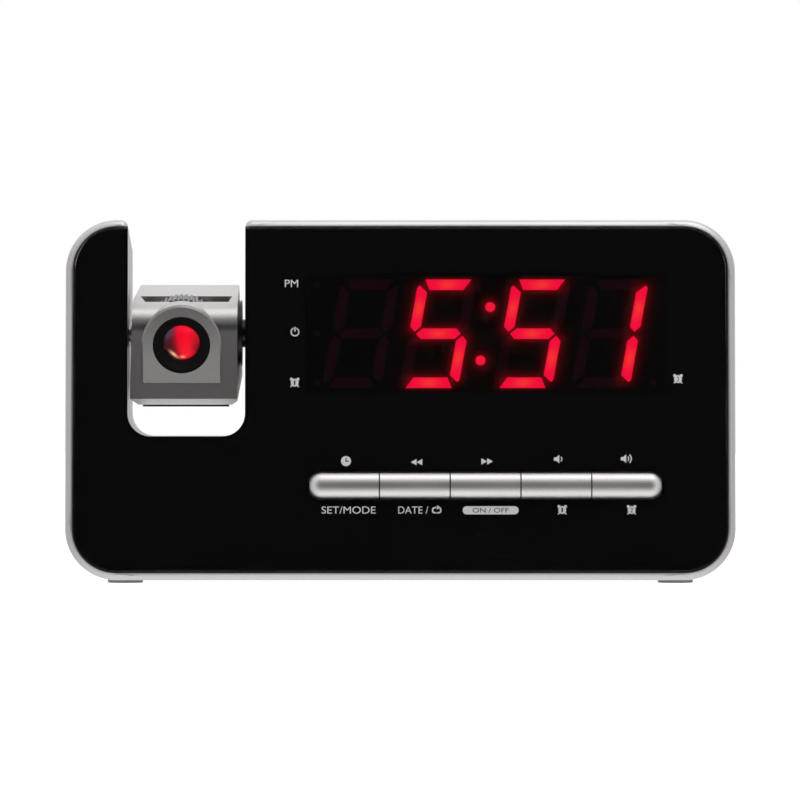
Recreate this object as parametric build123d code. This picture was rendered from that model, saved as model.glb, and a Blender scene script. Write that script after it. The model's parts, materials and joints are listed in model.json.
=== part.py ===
"""Projection alarm clock with a swinging projector head, in millimetres.

Frame: X runs to the right seen from the front, Y runs from the front to the back, Z is up.
The origin is at the middle of the footprint, on the surface that the feet stand on.

Most front parts are placed in the front frame: x as above, v up along the leaning front face,
w the depth behind that face.
"""
from build123d import *
import math
import os

# ---------------------------------------------------------------- case
LEAN = 5.0                 # degrees the front face leans back
CASE_WIDTH = 190.0
CASE_HEIGHT = 102.4        # height of the front face above the base
CASE_DEPTH = 56.0          # depth of the base
HALF_WIDTH = CASE_WIDTH / 2
Y_FRONT = -CASE_DEPTH / 2
Y_BACK = CASE_DEPTH / 2
BACK_HEIGHT = 95.5         # height of the back face above the base
SIDE_TAPER = 1.0           # each side draws in by this much at the back
CASE_CORNER = 14.5
RIM_ROUND = 2.2            # rounding of the front rim
BACK_ROUND = 4.5           # rounding of the back edges
WALL = 2.0
SEAM_GAP = 0.4             # shadow groove between the two cabinets
SEAM_DEEP = 0.6

# ---------------------------------------------------------------- notch for the projector head
NOTCH_INSET = 17.7         # from the left side of the case
NOTCH_LEFT = NOTCH_INSET - HALF_WIDTH
NOTCH_WIDTH = 33.3
NOTCH_RIGHT = NOTCH_LEFT + NOTCH_WIDTH
NOTCH_FLOOR = 40.7         # above the base
NOTCH_CORNER = 6.5
MOUTH_ROUND = 2.0

# ---------------------------------------------------------------- front plate and its mask
RIM_WIDTH = 2.3            # rim left around the plate
PLATE_GAP = 0.25
PLATE_THICK = 2.0
PLATE_BEVEL = 0.45
FILM_GAP = 0.03            # between the plate and the printed mask
MASK_THICK = 0.25

# ---------------------------------------------------------------- display
WINDOW_FROM_NOTCH = 16.85
WINDOW_FROM_SIDE = 19.65   # from the right side of the case
WINDOW_LEFT = NOTCH_RIGHT + WINDOW_FROM_NOTCH
WINDOW_RIGHT = HALF_WIDTH - WINDOW_FROM_SIDE
WINDOW_WIDTH = WINDOW_RIGHT - WINDOW_LEFT
WINDOW_HEIGHT = 34.5
COLUMN_X = (WINDOW_LEFT + WINDOW_RIGHT) / 2   # centre line of the display and the button bar
DISPLAY_V = 70.2
DISPLAY_BORDER = 1.2       # housing beyond the window, all round
DIGIT_HEIGHT = 30.9
DIGIT_WIDTH = 0.163 * WINDOW_WIDTH
DIGIT_PITCH = 0.2146 * WINDOW_WIDTH
COLON_PITCH = 0.2595 * WINDOW_WIDTH           # pitch of the two digits beside the colon
SEGMENT_WIDE = 3.0
SEGMENT_GAP = 0.55
SEGMENT_FLARE = 0.2        # top and bottom segments reach this much further on their outer side
SEGMENT_TIP = 0.35         # upright segments reach this much further at their outer end
SEGMENT_NOSE = 0.6         # cut of the outer corner there
SEGMENT_MITRE = 2.0        # fall of the mitre there
SEGMENT_DEEP = 0.8
SLANT = 10.3
COLON_RADIUS = 1.4
COLON_RISE = 7.6
MARK_RADIUS = 0.9          # indicator dots beside the digits
MARK_INSET = 3.6           # from the ends of the window

# ---------------------------------------------------------------- button bar
BAR_SHORTER = 2.4          # than the window is wide
BAR_WIDTH = WINDOW_WIDTH - BAR_SHORTER
BAR_HEIGHT = 7.2
BAR_V = 26.87
BUTTON_COUNT = 5
BUTTON_SLIT = 0.35         # between neighbouring buttons
BUTTON_CLEAR = 0.4         # round the bar
CROWN_HEIGHT = 2.9         # of the crown above the plate
CROWN_LIFT = 0.2           # straight side of the crown above the plate
BUTTON_TRAVEL = 0.5
FLANGE_THICK = 1.0
FLANGE_WIDE = 0.8          # flange beyond the bar
FLANGE_CLEAR = 0.3
STEM_WIDE = 4.0
PLUNGER_RADIUS = 1.6
SWITCH_SIZE = 6.0
SWITCH_HEIGHT = 3.5
SWITCH_PROUD = 1.4         # plunger above its switch body
PLUNGER_CLEAR = 0.3

# ---------------------------------------------------------------- boards
BOARD_THICK = 1.6
BOARD_W = 13.6             # depth of the control board's front face
BOARD_FROM_NOTCH = 3.5     # from the notch wall
BOARD_FROM_SIDE = 15.7     # from the right side of the case
BOARD_LEFT = NOTCH_RIGHT + WALL + BOARD_FROM_NOTCH
BOARD_RIGHT = HALF_WIDTH - BOARD_FROM_SIDE
BOARD_LOW = 9.0
BOARD_HIGH = 90.5
POST_LOW = 43.0
POST_HIGH = 84.0
POST_FROM_LEFT = 4.0       # from the left edge of the board
POST_FROM_RIGHT = 5.3      # from the right edge of the board
POST_LEFT = BOARD_LEFT + POST_FROM_LEFT
BOARD_POSTS = [(POST_LEFT, POST_HIGH), (POST_LEFT, POST_LOW), (COLUMN_X, POST_LOW),
               (BOARD_RIGHT - POST_FROM_RIGHT, POST_LOW)]
POST_RADIUS = 2.8
POST_EDGE = 0.5            # board left outside its posts
# chips behind the control board, from its centre: x, v, width, height, thickness
CONTROL_CHIPS = [(-20.4, 16.2, 14.0, 10.0, 2.0), (9.6, 16.2, 10.0, 16.0, 2.2),
                 (31.6, 12.2, 8.0, 5.0, 1.6), (-16.4, -27.8, 7.0, 5.0, 1.5),
                 (23.6, -25.8, 7.0, 5.0, 1.5), (35.6, 28.2, 6.0, 3.2, 1.2)]
SMALL_PARTS = 9            # row of small parts behind the control board
SMALL_PITCH = 8.0
SMALL_SIZE = (3.2, 1.6, 0.8)
SMALL_ROW = (3.6, 2.2)     # middle of the row, from the board's centre
SENSOR_X = COLUMN_X - 1.9
SENSOR_V = 13.0
SENSOR_RADIUS = 1.5
SENSOR_HOLE = 0.8
SENSOR_FIT = 0.1
SENSOR_COLLAR = 0.6        # collar of the tube, beyond its hole

# ---------------------------------------------------------------- screws
SCREW_RADIUS = 1.4
SCREW_HEAD_RADIUS = 2.7
SCREW_HEAD_HIGH = 1.8
SCREW_CLEAR = 0.2
CROSS_WIDE = 0.7
CROSS_DEEP = 1.0
BOARD_SCREW = 7.5          # length of the board screws under the head
CASE_SCREW = 30.0
SCREW_BITE = 7.0           # case screws ahead of the parting plane
BOSS_RADIUS = 4.5
BOSS_FROM_SIDE = 11.0
BOSS_FROM_HORN = 8.7       # side to boss in the narrow part beside the notch
BOSS_LOW = 13.0
BOSS_HIGH = 84.0
BOSS_X = HALF_WIDTH - BOSS_FROM_SIDE
CASE_BOSSES = [(-BOSS_X, BOSS_LOW), (BOSS_X, BOSS_LOW), (BOSS_X, BOSS_HIGH),
               (BOSS_FROM_HORN - HALF_WIDTH, BOSS_HIGH)]

# ---------------------------------------------------------------- top keys
KEY_ROW = 30.0             # distance of the keys from the top front edge, along the slope
KEY_PROUD = 0.9
KEY_TRAVEL = 0.6
KEY_CLEAR = 0.35
KEY_ROUND = 0.6
BEAM_FROM_NOTCH = 19.0
BEAM_KEY_X = NOTCH_RIGHT + BEAM_FROM_NOTCH
BEAM_KEY_LENGTH = 18.0
BEAM_KEY_WIDE = 9.0
KEY_SPACE = 9.0            # between the two keys
SNOOZE_LEFT = BEAM_KEY_X + BEAM_KEY_LENGTH / 2 + KEY_SPACE
SNOOZE_FROM_SIDE = 40.0
SNOOZE_RIGHT = HALF_WIDTH - SNOOZE_FROM_SIDE
SNOOZE_X = (SNOOZE_LEFT + SNOOZE_RIGHT) / 2
SNOOZE_LENGTH = SNOOZE_RIGHT - SNOOZE_LEFT
SNOOZE_WIDE = 13.0
KEY_BOARD_DEEP = 10.0      # face of the key board below the top surface
KEY_BOARD_WIDE = 15.0
KEY_POST_BESIDE = 4.6      # from the end of the snooze bar
KEY_POSTS = [SNOOZE_LEFT - KEY_SPACE / 2, SNOOZE_RIGHT + KEY_POST_BESIDE]

# ---------------------------------------------------------------- projector head
PIVOT_HEIGHT = 70.0        # above the base
PIVOT_BEHIND = 15.9        # behind the front face
HEAD_PITCH = 12.0          # degrees the lens looks down at rest
HEAD_FRONT = 15.7
HEAD_BACK = 17.5
HEAD_TOP = 10.8
HEAD_BOTTOM = 17.6
HEAD_CHAMFER_HIGH = 1.9    # height of the chamfer round the foot of the head
HEAD_CHAMFER_DEEP = 0.75   # its depth at the front and the back
HEAD_CHAMFER_SIDE = 2.4    # its width at the sides
HEAD_ROUND = 7.0           # front top edge
HEAD_BACK_ROUND = 1.2
INNER_ROUND = 0.3          # least rounding inside the head
HEAD_DRAFT = 0.85          # each side draws in by this much at the top
HEAD_LEFT_TAPER = 2.5      # left side draws in by this much at the back
HEAD_RIGHT_FLARE = 0.9     # right side stands out by this much at the back
HEAD_WALL = 1.6
HEAD_LEFT_GAP = 0.5        # between the head and the left notch wall
HUB_THICK = 1.2
HUB_GAP = 1.05             # between the hub and the right notch wall
HUB_RADIUS = 9.5
HUB_GROOVE = 0.3
SHAFT_RADIUS = 4.0
SHAFT_BORE = 2.2
SHAFT_FIT = 0.06
PIN_RADIUS = 2.5
PIN_WASHER_RADIUS = 4.0
PIN_WASHER_GAP = 0.45      # between the washer face and the left notch wall
INNER_FLANGE_RADIUS = 5.5
INNER_FLANGE_THICK = 1.2
COLLAR_RADIUS = 6.5
PIN_COLLAR_RADIUS = 4.55
COLLAR_THICK = 1.6
SPRING_THICK = 0.9
SPRING_RADIUS = 6.0
SPRING_CLEAR = 0.3
ARCH_RADIUS = 11.4
ARCH_FOOT = 11.4           # foot of the arch below the lens axis
ARCH_PROUD = 1.0
ARCH_EDGE = 0.5            # chamfer round the face of the arched boss
LENS_OFFSET = -0.5         # lens axis from the head's middle
SLOT_FRONT = 8.1           # front edge of the roof slot, ahead of the pivot
SLOT_WIDTH = 26.4          # of its back edge
SLOT_OFFSET = 0.5          # middle of its back edge from the head's middle
SLOT_LEFT_TAPER = 1.75     # its left end draws in by this much at the front
SLOT_RIGHT_TAPER = 0.8     # its right end draws in by this much at the front
SLOT_BEVEL = 0.7           # bevel of its ends
BARREL_RADIUS = 8.1
BARREL_FIT = 0.06
BARREL_WALL = 1.1
BARREL_RECESS = 0.8        # barrel's front ring behind the arch's face
BARREL_LENGTH = 17.0
BARREL_TRAVEL = 2.0        # into the head, when the focus ring is turned
LENS_RADIUS = 5.4
LENS_SETBACK = 2.6         # lens edge behind the barrel's front ring
LENS_THICK = 2.2
LENS_CROWN = 1.5
LENS_LIP = 0.3             # lip of the barrel over the lens edge
LIP_THICK = 0.5
BARREL_EDGE = 0.8          # width of the barrel's front edge
RING_RADIUS = 11.6
RING_WIDTH = 7.0
RING_INSET = 0.5           # ring behind the front edge of the slot
RING_FIT = 0.08
RING_TEETH = 48
RING_TOOTH_DEEP = 0.45
PLATE_UNDER = 0.9          # thickness of the base plate under the head
PLATE_INSET = 2.4

# ---------------------------------------------------------------- light source in the head
SLIDE_CLEAR = 1.1          # between the time slide and the barrel when it is fully in
SLIDE_SIZE = 9.0
SLIDE_THICK = 1.1
CONDENSER_RADIUS = 4.2
CONDENSER_THICK = 2.0
TUBE_SIZE = 11.0
LAMP_RADIUS = 2.5
LAMP_LENGTH = 3.0
LAMP_ROUND = 2.0
LAMP_BOARD_SIZE = 12.0
LAMP_BOARD_THICK = 1.2
HEAD_SCREW_Z = -13.8
HEAD_SCREW_X = 9.0
HEAD_SCREW_SUNK = 4.0      # underside of the screw heads inside the back of the head
HEAD_TUBE_RADIUS = 3.7

# ---------------------------------------------------------------- loudspeaker
SPEAKER_FROM_SIDE = 35.0
SPEAKER_X = HALF_WIDTH - SPEAKER_FROM_SIDE
SPEAKER_Z = 50.0           # above the base
SPEAKER_RADIUS = 20.0
SPEAKER_FLANGE = 1.2
SPEAKER_SURROUND = 17.0
BASKET_DEEP = 7.0
BASKET_SMALL = 12.0
MAGNET_RADIUS = 11.0
MAGNET_DEEP = 7.0
SPEAKER_HOLE = 4.0         # hole of the basket's seat round the voice coil
SPEAKER_COIL = 3.9         # radius of the voice coil
SHEET = 1.0                # thickness of the basket's metal
MAGNET_STEP = 1.5          # thickness of the magnet's back plate
GRILLE_SLOTS = 9
GRILLE_PITCH = 3.8
GRILLE_SLOT = 1.8
GRILLE_RADIUS = 17.0
RING_WALL = 1.5
RING_HIGH = 3.0
SPEAKER_CLEAR = 0.2

# ---------------------------------------------------------------- battery bay
BATTERY_RADIUS = 5.2
BATTERY_LENGTH = 43.5
BATTERY_NUB = 1.0
BATTERY_NUB_RADIUS = 1.9
BATTERY_ROUND = 0.5
BATTERY_GAP = 0.6
BAY_FROM_SPEAKER = 56.0
BAY_X = SPEAKER_X - BAY_FROM_SPEAKER
BAY_Z = 27.0               # above the base
BAY_END = 2.6              # room for a contact at each end
BAY_WALL = 1.6
DOOR_THICK = 1.8
DOOR_CLEAR = 0.4
DOOR_LEDGE = 1.6
RIDGES = 4                 # finger ridges in the door
RIDGE_PITCH = 1.6
RIDGE_WIDE = 0.8
RIDGE_DEEP = 0.5
RIDGE_LONG = 14.0
RIDGE_STEP = 2.0           # each ridge shorter than the one above
RIDGE_EDGE = 3.0           # first ridge below the door's top edge
SPRING_WIRE = 0.4
SPRING_TURNS = 2.5
CONTACT_THICK = 0.4
CONTACT_HALF = 3.5         # half the side of a contact plate

# ---------------------------------------------------------------- main board and power inlet
MAIN_FROM_SIDE = 46.0       # from the left side of the case
MAIN_X = MAIN_FROM_SIDE - HALF_WIDTH
MAIN_WIDE = 46.0
MAIN_CLEAR = 2.8           # behind the foot of the control board
MAIN_BACK_CLEAR = 2.0      # ahead of the back wall
MAIN_FRONT = Y_FRONT + BOARD_W + BOARD_THICK + MAIN_CLEAR
MAIN_BACK = Y_BACK - WALL - MAIN_BACK_CLEAR
MAIN_Y = (MAIN_FRONT + MAIN_BACK) / 2
MAIN_DEEP = MAIN_BACK - MAIN_FRONT
MAIN_HIGH = 4.0            # underside above the case floor
# chips on the main board: x from its centre, y as a share of its depth, width, depth, height
MAIN_CHIPS = [(-3.0, -0.09, 12.0, 12.0, 1.8), (-17.0, -0.12, 5.0, 8.0, 1.6), (15.0, 0.15, 10.0, 6.0, 2.0),
              (0.5, 0.32, 8.0, 4.0, 14.0), (-14.0, -0.35, 4.5, 3.0, 3.6)]
# upright capacitors: x from its centre, y as a share of its depth, radius, height
MAIN_CANS = [(-18.0, 0.16, 3.4, 12.0), (12.5, -0.32, 3.2, 11.0)]
CAN_ROUND = 0.5
TUNER = (0.0, -0.39, 14.0, 4.5, 6.0)
JACK_FROM_SIDE = 37.0
JACK_X = JACK_FROM_SIDE - HALF_WIDTH
JACK_WIDE = 9.0
JACK_HIGH = 11.0
JACK_DEEP = 13.5
JACK_BORE = 2.85
JACK_BORE_DEEP = 9.0
JACK_PIN = 1.0
JACK_PIN_BACK = 3.2        # tip of the centre pin behind the mouth
JACK_CLEAR = 0.3
JACK_RISE = 0.5            # socket above the middle of its housing

# ---------------------------------------------------------------- feet, plate, grommet
FOOT_RADIUS = 5.0
FOOT_PROUD = 0.8
FOOT_RECESS = 0.7
FOOT_FROM_SIDE = 17.0
FOOT_FROM_FRONT = 9.2
FOOT_FROM_BACK = 9.0
FOOT_X = HALF_WIDTH - FOOT_FROM_SIDE
FOOT_FRONT = Y_FRONT + FOOT_FROM_FRONT
FOOT_BACK = Y_BACK - FOOT_FROM_BACK
LABEL_WIDE = 46.0
LABEL_HIGH = 20.0
LABEL_X = BAY_X
LABEL_Z = 70.0
LABEL_THICK = 0.2
LABEL_CORNER = 1.5
GROMMET_FROM_BAY = 33.5
GROMMET_X = BAY_X - GROMMET_FROM_BAY
GROMMET_Z = 17.0
GROMMET_RADIUS = 3.2
GROMMET_BORE = 0.9
GROMMET_LIP = 1.2
GROMMET_LIP_THICK = 1.1

# ---------------------------------------------------------------- derived places
BASE = FOOT_PROUD
FAR = 400.0                                   # larger than the clock, for cutting tools
OVER = 1.0                                    # overrun of cutting tools
FRONT_LENGTH = CASE_HEIGHT / math.cos(math.radians(LEAN))
LEAN_SIN = math.sin(math.radians(LEAN))
LEAN_COS = math.cos(math.radians(LEAN))
FRONT = Plane(origin=(0, Y_FRONT, BASE), x_dir=(1, 0, 0), z_dir=(0, -LEAN_COS, LEAN_SIN))
BACK = Plane(origin=(0, Y_BACK, BASE), x_dir=(1, 0, 0), z_dir=(0, -1, 0))
UPRIGHT = Plane(origin=(0, 0, BASE), x_dir=(1, 0, 0), z_dir=(0, -1, 0))
TOP_EDGE = Vector(0, Y_FRONT + CASE_HEIGHT * math.tan(math.radians(LEAN)), BASE + CASE_HEIGHT)
TOP_FALL = (Vector(0, Y_BACK, BASE + BACK_HEIGHT) - TOP_EDGE).normalized()
TOP = Plane(origin=TOP_EDGE, x_dir=(1, 0, 0), z_dir=(0, -TOP_FALL.Z, TOP_FALL.Y))

# the grommet stands out behind as far as the crown does in front, so the middle stays in the middle
GROMMET_PROUD = CROWN_HEIGHT * LEAN_COS - BAR_V * LEAN_SIN
STACK = PLATE_THICK + FILM_GAP + MASK_THICK   # depth of the plate's seat
BOARD_MIDDLE = ((BOARD_LEFT + BOARD_RIGHT) / 2, (BOARD_LOW + BOARD_HIGH) / 2)
WALL_BACK = STACK + WALL                      # back of the cabinet's front wall
SWITCH_W = BOARD_W - SWITCH_HEIGHT            # front of a switch body
PLUNGER_W = SWITCH_W - SWITCH_PROUD           # where stem and plunger meet
PIVOT_Y = Y_FRONT + PIVOT_HEIGHT * math.tan(math.radians(LEAN)) + PIVOT_BEHIND
PIVOT_Z = BASE + PIVOT_HEIGHT
SPLIT = PIVOT_BEHIND * LEAN_COS               # parting plane through the pivot axis
HEAD_LEFT = NOTCH_LEFT + HEAD_LEFT_GAP
HEAD_RIGHT = NOTCH_RIGHT - HUB_GAP - HUB_THICK
HEAD_MIDDLE = (HEAD_LEFT + HEAD_RIGHT) / 2
LENS_X = HEAD_MIDDLE + LENS_OFFSET
HEAD = Location((0, PIVOT_Y, PIVOT_Z)) * Rotation(HEAD_PITCH, 0, 0)
FLOOR_Z = BASE + WALL                         # inner floor of the case


# ================================================================ helpers
def place(plane, sketch, near, far):
    """Prism of a sketch on a plane, from depth near to depth far behind the plane."""
    return extrude(plane.offset(-near) * sketch, amount=near - far, dir=plane.z_dir)


def box_at(x, y, z):
    """Box between the low and high values of each pair."""
    size = (x[1] - x[0], y[1] - y[0], z[1] - z[0])
    middle = ((x[0] + x[1]) / 2, (y[0] + y[1]) / 2, (z[0] + z[1]) / 2)
    return Pos(*middle) * Box(*size)


def rod_x(radius, x0, x1, y=0.0, z=0.0):
    """Cylinder along X."""
    return Pos((x0 + x1) / 2, y, z) * Rotation(0, 90, 0) * Cylinder(radius, x1 - x0)


def rod_y(radius, y0, y1, x=0.0, z=0.0):
    """Cylinder along Y."""
    return Pos(x, (y0 + y1) / 2, z) * Rotation(90, 0, 0) * Cylinder(radius, y1 - y0)


def rod_z(radius, z0, z1, x=0.0, y=0.0):
    """Cylinder along Z."""
    return Pos(x, y, (z0 + z1) / 2) * Cylinder(radius, z1 - z0)


def screw(length):
    """Cross-head screw: underside of the head at the origin, shank down -Z."""
    body = rod_z(SCREW_HEAD_RADIUS, 0, SCREW_HEAD_HIGH) + rod_z(SCREW_RADIUS, -length, 0)
    body = fillet(body.edges().group_by(Axis.Z)[-1], SCREW_HEAD_HIGH / 3)
    arm = SCREW_HEAD_RADIUS * 1.2
    deep = Pos(0, 0, SCREW_HEAD_HIGH - CROSS_DEEP / 2)
    return body - deep * Box(arm, CROSS_WIDE, CROSS_DEEP) - deep * Box(CROSS_WIDE, arm, CROSS_DEEP)


def facing(plane, x, v, w):
    """Place at x, v on a plane and w behind it, with +Z out of the plane."""
    return plane.offset(-w).location * Pos(x, v, 0)


# ================================================================ case
def case_form(inset):
    """Solid between the leaning front outline and the upright back outline, drawn in by inset."""
    corner = CASE_CORNER - inset
    front = Pos(0, FRONT_LENGTH / 2) * RectangleRounded(
        CASE_WIDTH - 2 * inset, FRONT_LENGTH - 2 * inset, corner)
    back = Pos(0, BACK_HEIGHT / 2) * RectangleRounded(
        CASE_WIDTH - 2 * SIDE_TAPER - 2 * inset, BACK_HEIGHT - 2 * inset, corner)
    return loft([FRONT * front, BACK * back], ruled=True)


def notch_prism(grow):
    """U-shaped prism along Y: the notch, with its walls moved out by grow."""
    wide = NOTCH_WIDTH + 2 * grow
    tall = 2 * CASE_HEIGHT
    middle = (NOTCH_LEFT + NOTCH_RIGHT) / 2
    shape = Pos(middle, NOTCH_FLOOR - grow + tall / 2) * RectangleRounded(
        wide, tall, NOTCH_CORNER + grow)
    return extrude(UPRIGHT * shape, amount=CASE_DEPTH, both=True)


def between(near, far):
    """Everything between two depths behind the front face."""
    return place(FRONT, Rectangle(FAR, FAR), near, far)


def case_skin():
    """Outer body of both cabinets: rounded rim, rounded back, notch with rounded mouth."""
    body = case_form(0)
    body = fillet(body.faces().sort_by(Axis.Y)[-1].edges(), BACK_ROUND)
    body = fillet(body.faces().sort_by(Axis.Y)[0].edges(), RIM_ROUND)
    body = body - notch_prism(0)
    mouth = [
        edge for edge in body.edges()
        if abs(edge.center().Z - BASE - CASE_HEIGHT) < 0.25 * CASE_HEIGHT
        and (abs(edge.center().X - NOTCH_LEFT) < 1e-3 or abs(edge.center().X - NOTCH_RIGHT) < 1e-3)
        and abs((edge @ 1 - edge @ 0).Y) > BACK_ROUND
    ]
    return fillet(mouth, MOUTH_ROUND)


def case_hollow():
    """Inner space of the case, behind its front wall and round the notch."""
    inner = case_form(WALL) & between(WALL_BACK, FAR)
    inner = inner & place(BACK, Rectangle(FAR, FAR), -FAR, -WALL)
    return inner - notch_prism(WALL)


def plate_outline(gap):
    """Outline of the front plate, inside the rim, moved out by gap."""
    edge = RIM_WIDTH - gap
    return Pos(0, FRONT_LENGTH / 2) * RectangleRounded(
        CASE_WIDTH - 2 * edge, FRONT_LENGTH - 2 * edge, CASE_CORNER - edge)


def bar_outline(grow):
    """Pill round the button bar, moved out by grow."""
    return Pos(COLUMN_X, BAR_V) * SlotOverall(BAR_WIDTH + 2 * grow, BAR_HEIGHT + 2 * grow)


def window_outline(grow):
    """Display window, moved out by grow."""
    return Pos(COLUMN_X, DISPLAY_V) * Rectangle(WINDOW_WIDTH + 2 * grow, WINDOW_HEIGHT + 2 * grow)


def case_bosses():
    """Rods along Y at the case screws, ending inside the walls."""
    rods = [rod_y(BOSS_RADIUS, Y_FRONT, Y_BACK, x, BASE + z) for x, z in CASE_BOSSES]
    return Compound(children=rods) & case_form(WALL / 2)


def case_screw_places():
    """Underside of each case screw's head: the tips all bite the front bosses equally."""
    spots = []
    for x, z in CASE_BOSSES:
        parting = Y_FRONT + z * math.tan(math.radians(LEAN)) + SPLIT / LEAN_COS
        spots.append((x, parting - SCREW_BITE + CASE_SCREW, BASE + z))
    return spots


def screw_holes():
    """Pilot holes ahead of the parting plane, clearance holes and head recesses behind it."""
    cuts = []
    for x, y, z in case_screw_places():
        tip = y - CASE_SCREW
        cuts.append(rod_y(SCREW_RADIUS, tip, y, x, z))
        cuts.append(rod_y(SCREW_RADIUS + SCREW_CLEAR, tip + SCREW_BITE, y, x, z))
        cuts.append(rod_y(SCREW_HEAD_RADIUS + SCREW_CLEAR, y, Y_BACK + OVER, x, z))
    return cuts


def bearing_holes():
    """Bearings of the head's shaft and pin, half in each cabinet."""
    ends = (NOTCH_RIGHT - OVER, NOTCH_RIGHT + WALL + OVER)
    right = rod_x(SHAFT_RADIUS + SHAFT_FIT, *ends, PIVOT_Y, PIVOT_Z)
    ends = (NOTCH_LEFT - WALL - OVER, NOTCH_LEFT + OVER)
    left = rod_x(PIN_RADIUS + SHAFT_FIT, *ends, PIVOT_Y, PIVOT_Z)
    return [right, left]


def foot_places():
    """Centres of the feet."""
    return [(x, y) for x in (-FOOT_X, FOOT_X) for y in (FOOT_FRONT, FOOT_BACK)]


def foot_pockets():
    """Shallow seats of the feet in the base."""
    return [rod_z(FOOT_RADIUS, 0, BASE + FOOT_RECESS, x, y) for x, y in foot_places()]


def front_cabinet():
    """Front moulding: rim, wall behind the plate, bosses and board posts."""
    body = (case_skin() & between(-FAR, SPLIT)) - case_hollow()
    body = body - place(FRONT, plate_outline(PLATE_GAP), -RIM_WIDTH, STACK)
    body = body + (case_bosses() & between(WALL_BACK - WALL / 2, SPLIT))
    for x, v in BOARD_POSTS:
        body = body + place(FRONT, Pos(x, v) * Circle(POST_RADIUS), WALL_BACK - WALL / 2, BOARD_W)
        pilot = Pos(x, v) * Circle(SCREW_RADIUS)
        body = body - place(FRONT, pilot, BOARD_W + BOARD_THICK - BOARD_SCREW, BOARD_W)
    body = body - place(FRONT, window_outline(DISPLAY_BORDER), 0, WALL_BACK + OVER)
    body = body - place(FRONT, bar_outline(BUTTON_CLEAR), 0, WALL_BACK + OVER)
    body = body - place(FRONT, Pos(SENSOR_X, SENSOR_V) * Circle(SENSOR_RADIUS), 0, WALL_BACK + OVER)
    return body - screw_holes() - bearing_holes() - foot_pockets()


# ================================================================ front plate and display
def front_plate():
    """Clear smoked plate with a small bevel, the U cut and the slot for the bar."""
    body = place(FRONT, plate_outline(0), 0, PLATE_THICK) - notch_prism(0)
    body = chamfer(body.faces().sort_by(Axis.Y)[0].edges(), PLATE_BEVEL)
    return body - place(FRONT, bar_outline(BUTTON_CLEAR), -OVER, PLATE_THICK + OVER)


def plate_mask():
    """Black print behind the plate, open at the window, the bar and the sensor."""
    body = place(FRONT, plate_outline(0), PLATE_THICK + FILM_GAP, STACK) - notch_prism(0)
    body = body - place(FRONT, window_outline(0), 0, STACK + OVER)
    body = body - place(FRONT, bar_outline(BUTTON_CLEAR), 0, STACK + OVER)
    return body - place(FRONT, Pos(SENSOR_X, SENSOR_V) * Circle(SENSOR_HOLE), 0, STACK + OVER)


def slanted(points, x, y):
    """Closed outline of points about a digit's centre, slanted and moved to x, y."""
    lean = math.tan(math.radians(SLANT))
    return Polygon(*[(x + px + lean * py, y + py) for px, py in points], align=None)


def level_points(rise, half, outward):
    """Corners of a level segment: pointed at both ends in the middle of the digit (outward 0), longer
    on the outer side at the top (1) and the bottom (-1)."""
    thick = SEGMENT_WIDE / 2
    foot = half - thick
    if outward == 0:
        return [(-half, rise), (-foot, rise + thick), (foot, rise + thick),
                (half, rise), (foot, rise - thick), (-foot, rise - thick)]
    reach = half + SEGMENT_FLARE
    far, near = rise + outward * thick, rise - outward * thick
    return [(-reach, far), (reach, far), (foot, near), (-foot, near)]


def upright_points(side, rise, half, out, up):
    """Corners of an upright segment: pointed at the middle of the digit, with a mitre that rises to
    the outer side at the far end. out and up are 1 or -1."""
    thick = SEGMENT_WIDE / 2
    tip = half + SEGMENT_TIP
    corners = [(0, -half), (thick, thick - half), (thick, tip - SEGMENT_NOSE), (thick - SEGMENT_NOSE, tip),
               (-thick, tip - SEGMENT_MITRE), (-thick, thick - half)]
    return [(out * (side + a), up * (rise + b)) for a, b in corners]


def digit_segments():
    """The seven segments of a digit about its centre, by their usual letters."""
    side = (DIGIT_WIDTH - SEGMENT_WIDE) / 2
    rise = (DIGIT_HEIGHT - SEGMENT_WIDE) / 2
    flat = side - SEGMENT_GAP
    tall = rise / 2 - SEGMENT_GAP
    return {
        "a": level_points(rise, flat, 1),
        "b": upright_points(side, rise / 2, tall, 1, 1),
        "c": upright_points(side, rise / 2, tall, 1, -1),
        "d": level_points(-rise, flat, -1),
        "e": upright_points(side, rise / 2, tall, -1, -1),
        "f": upright_points(side, rise / 2, tall, -1, 1),
        "g": level_points(0, flat, 0),
    }


def digit_centres():
    """X of the four digits."""
    inner = COLON_PITCH / 2
    outer = inner + DIGIT_PITCH
    return [COLUMN_X - outer, COLUMN_X - inner, COLUMN_X + inner, COLUMN_X + outer]


SHOWN = ["", "afgcd", "afgcd", "bc"]          # blank, 5, 5, 1


def segments(lit):
    """Solids of all lit, or all unlit, segments."""
    pieces = []
    for x, shown in zip(digit_centres(), SHOWN):
        for letter, points in digit_segments().items():
            if (letter in shown) == lit:
                sketch = slanted(points, x, DISPLAY_V)
                pieces.append(place(FRONT, sketch, STACK, STACK + SEGMENT_DEEP))
    return pieces


def colon_dots():
    """The two dots between the hours and the minutes."""
    lean = math.tan(math.radians(SLANT))
    spots = [(COLUMN_X + lean * rise, DISPLAY_V + rise) for rise in (COLON_RISE, -COLON_RISE)]
    return [place(FRONT, Pos(x, v) * Circle(COLON_RADIUS), STACK, STACK + SEGMENT_DEEP)
            for x, v in spots]


def indicator_dots():
    """Indicator dots at the ends of the window: three on the left, one on the right."""
    left = COLUMN_X - WINDOW_WIDTH / 2 + MARK_INSET
    right = COLUMN_X + WINDOW_WIDTH / 2 - MARK_INSET
    rise = (DIGIT_HEIGHT - SEGMENT_WIDE) / 2
    spots = [(left, rise), (left, 0), (left, -rise), (right, -rise)]
    return [place(FRONT, Pos(x, DISPLAY_V + v) * Circle(MARK_RADIUS), STACK, STACK + SEGMENT_DEEP)
            for x, v in spots]


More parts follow.
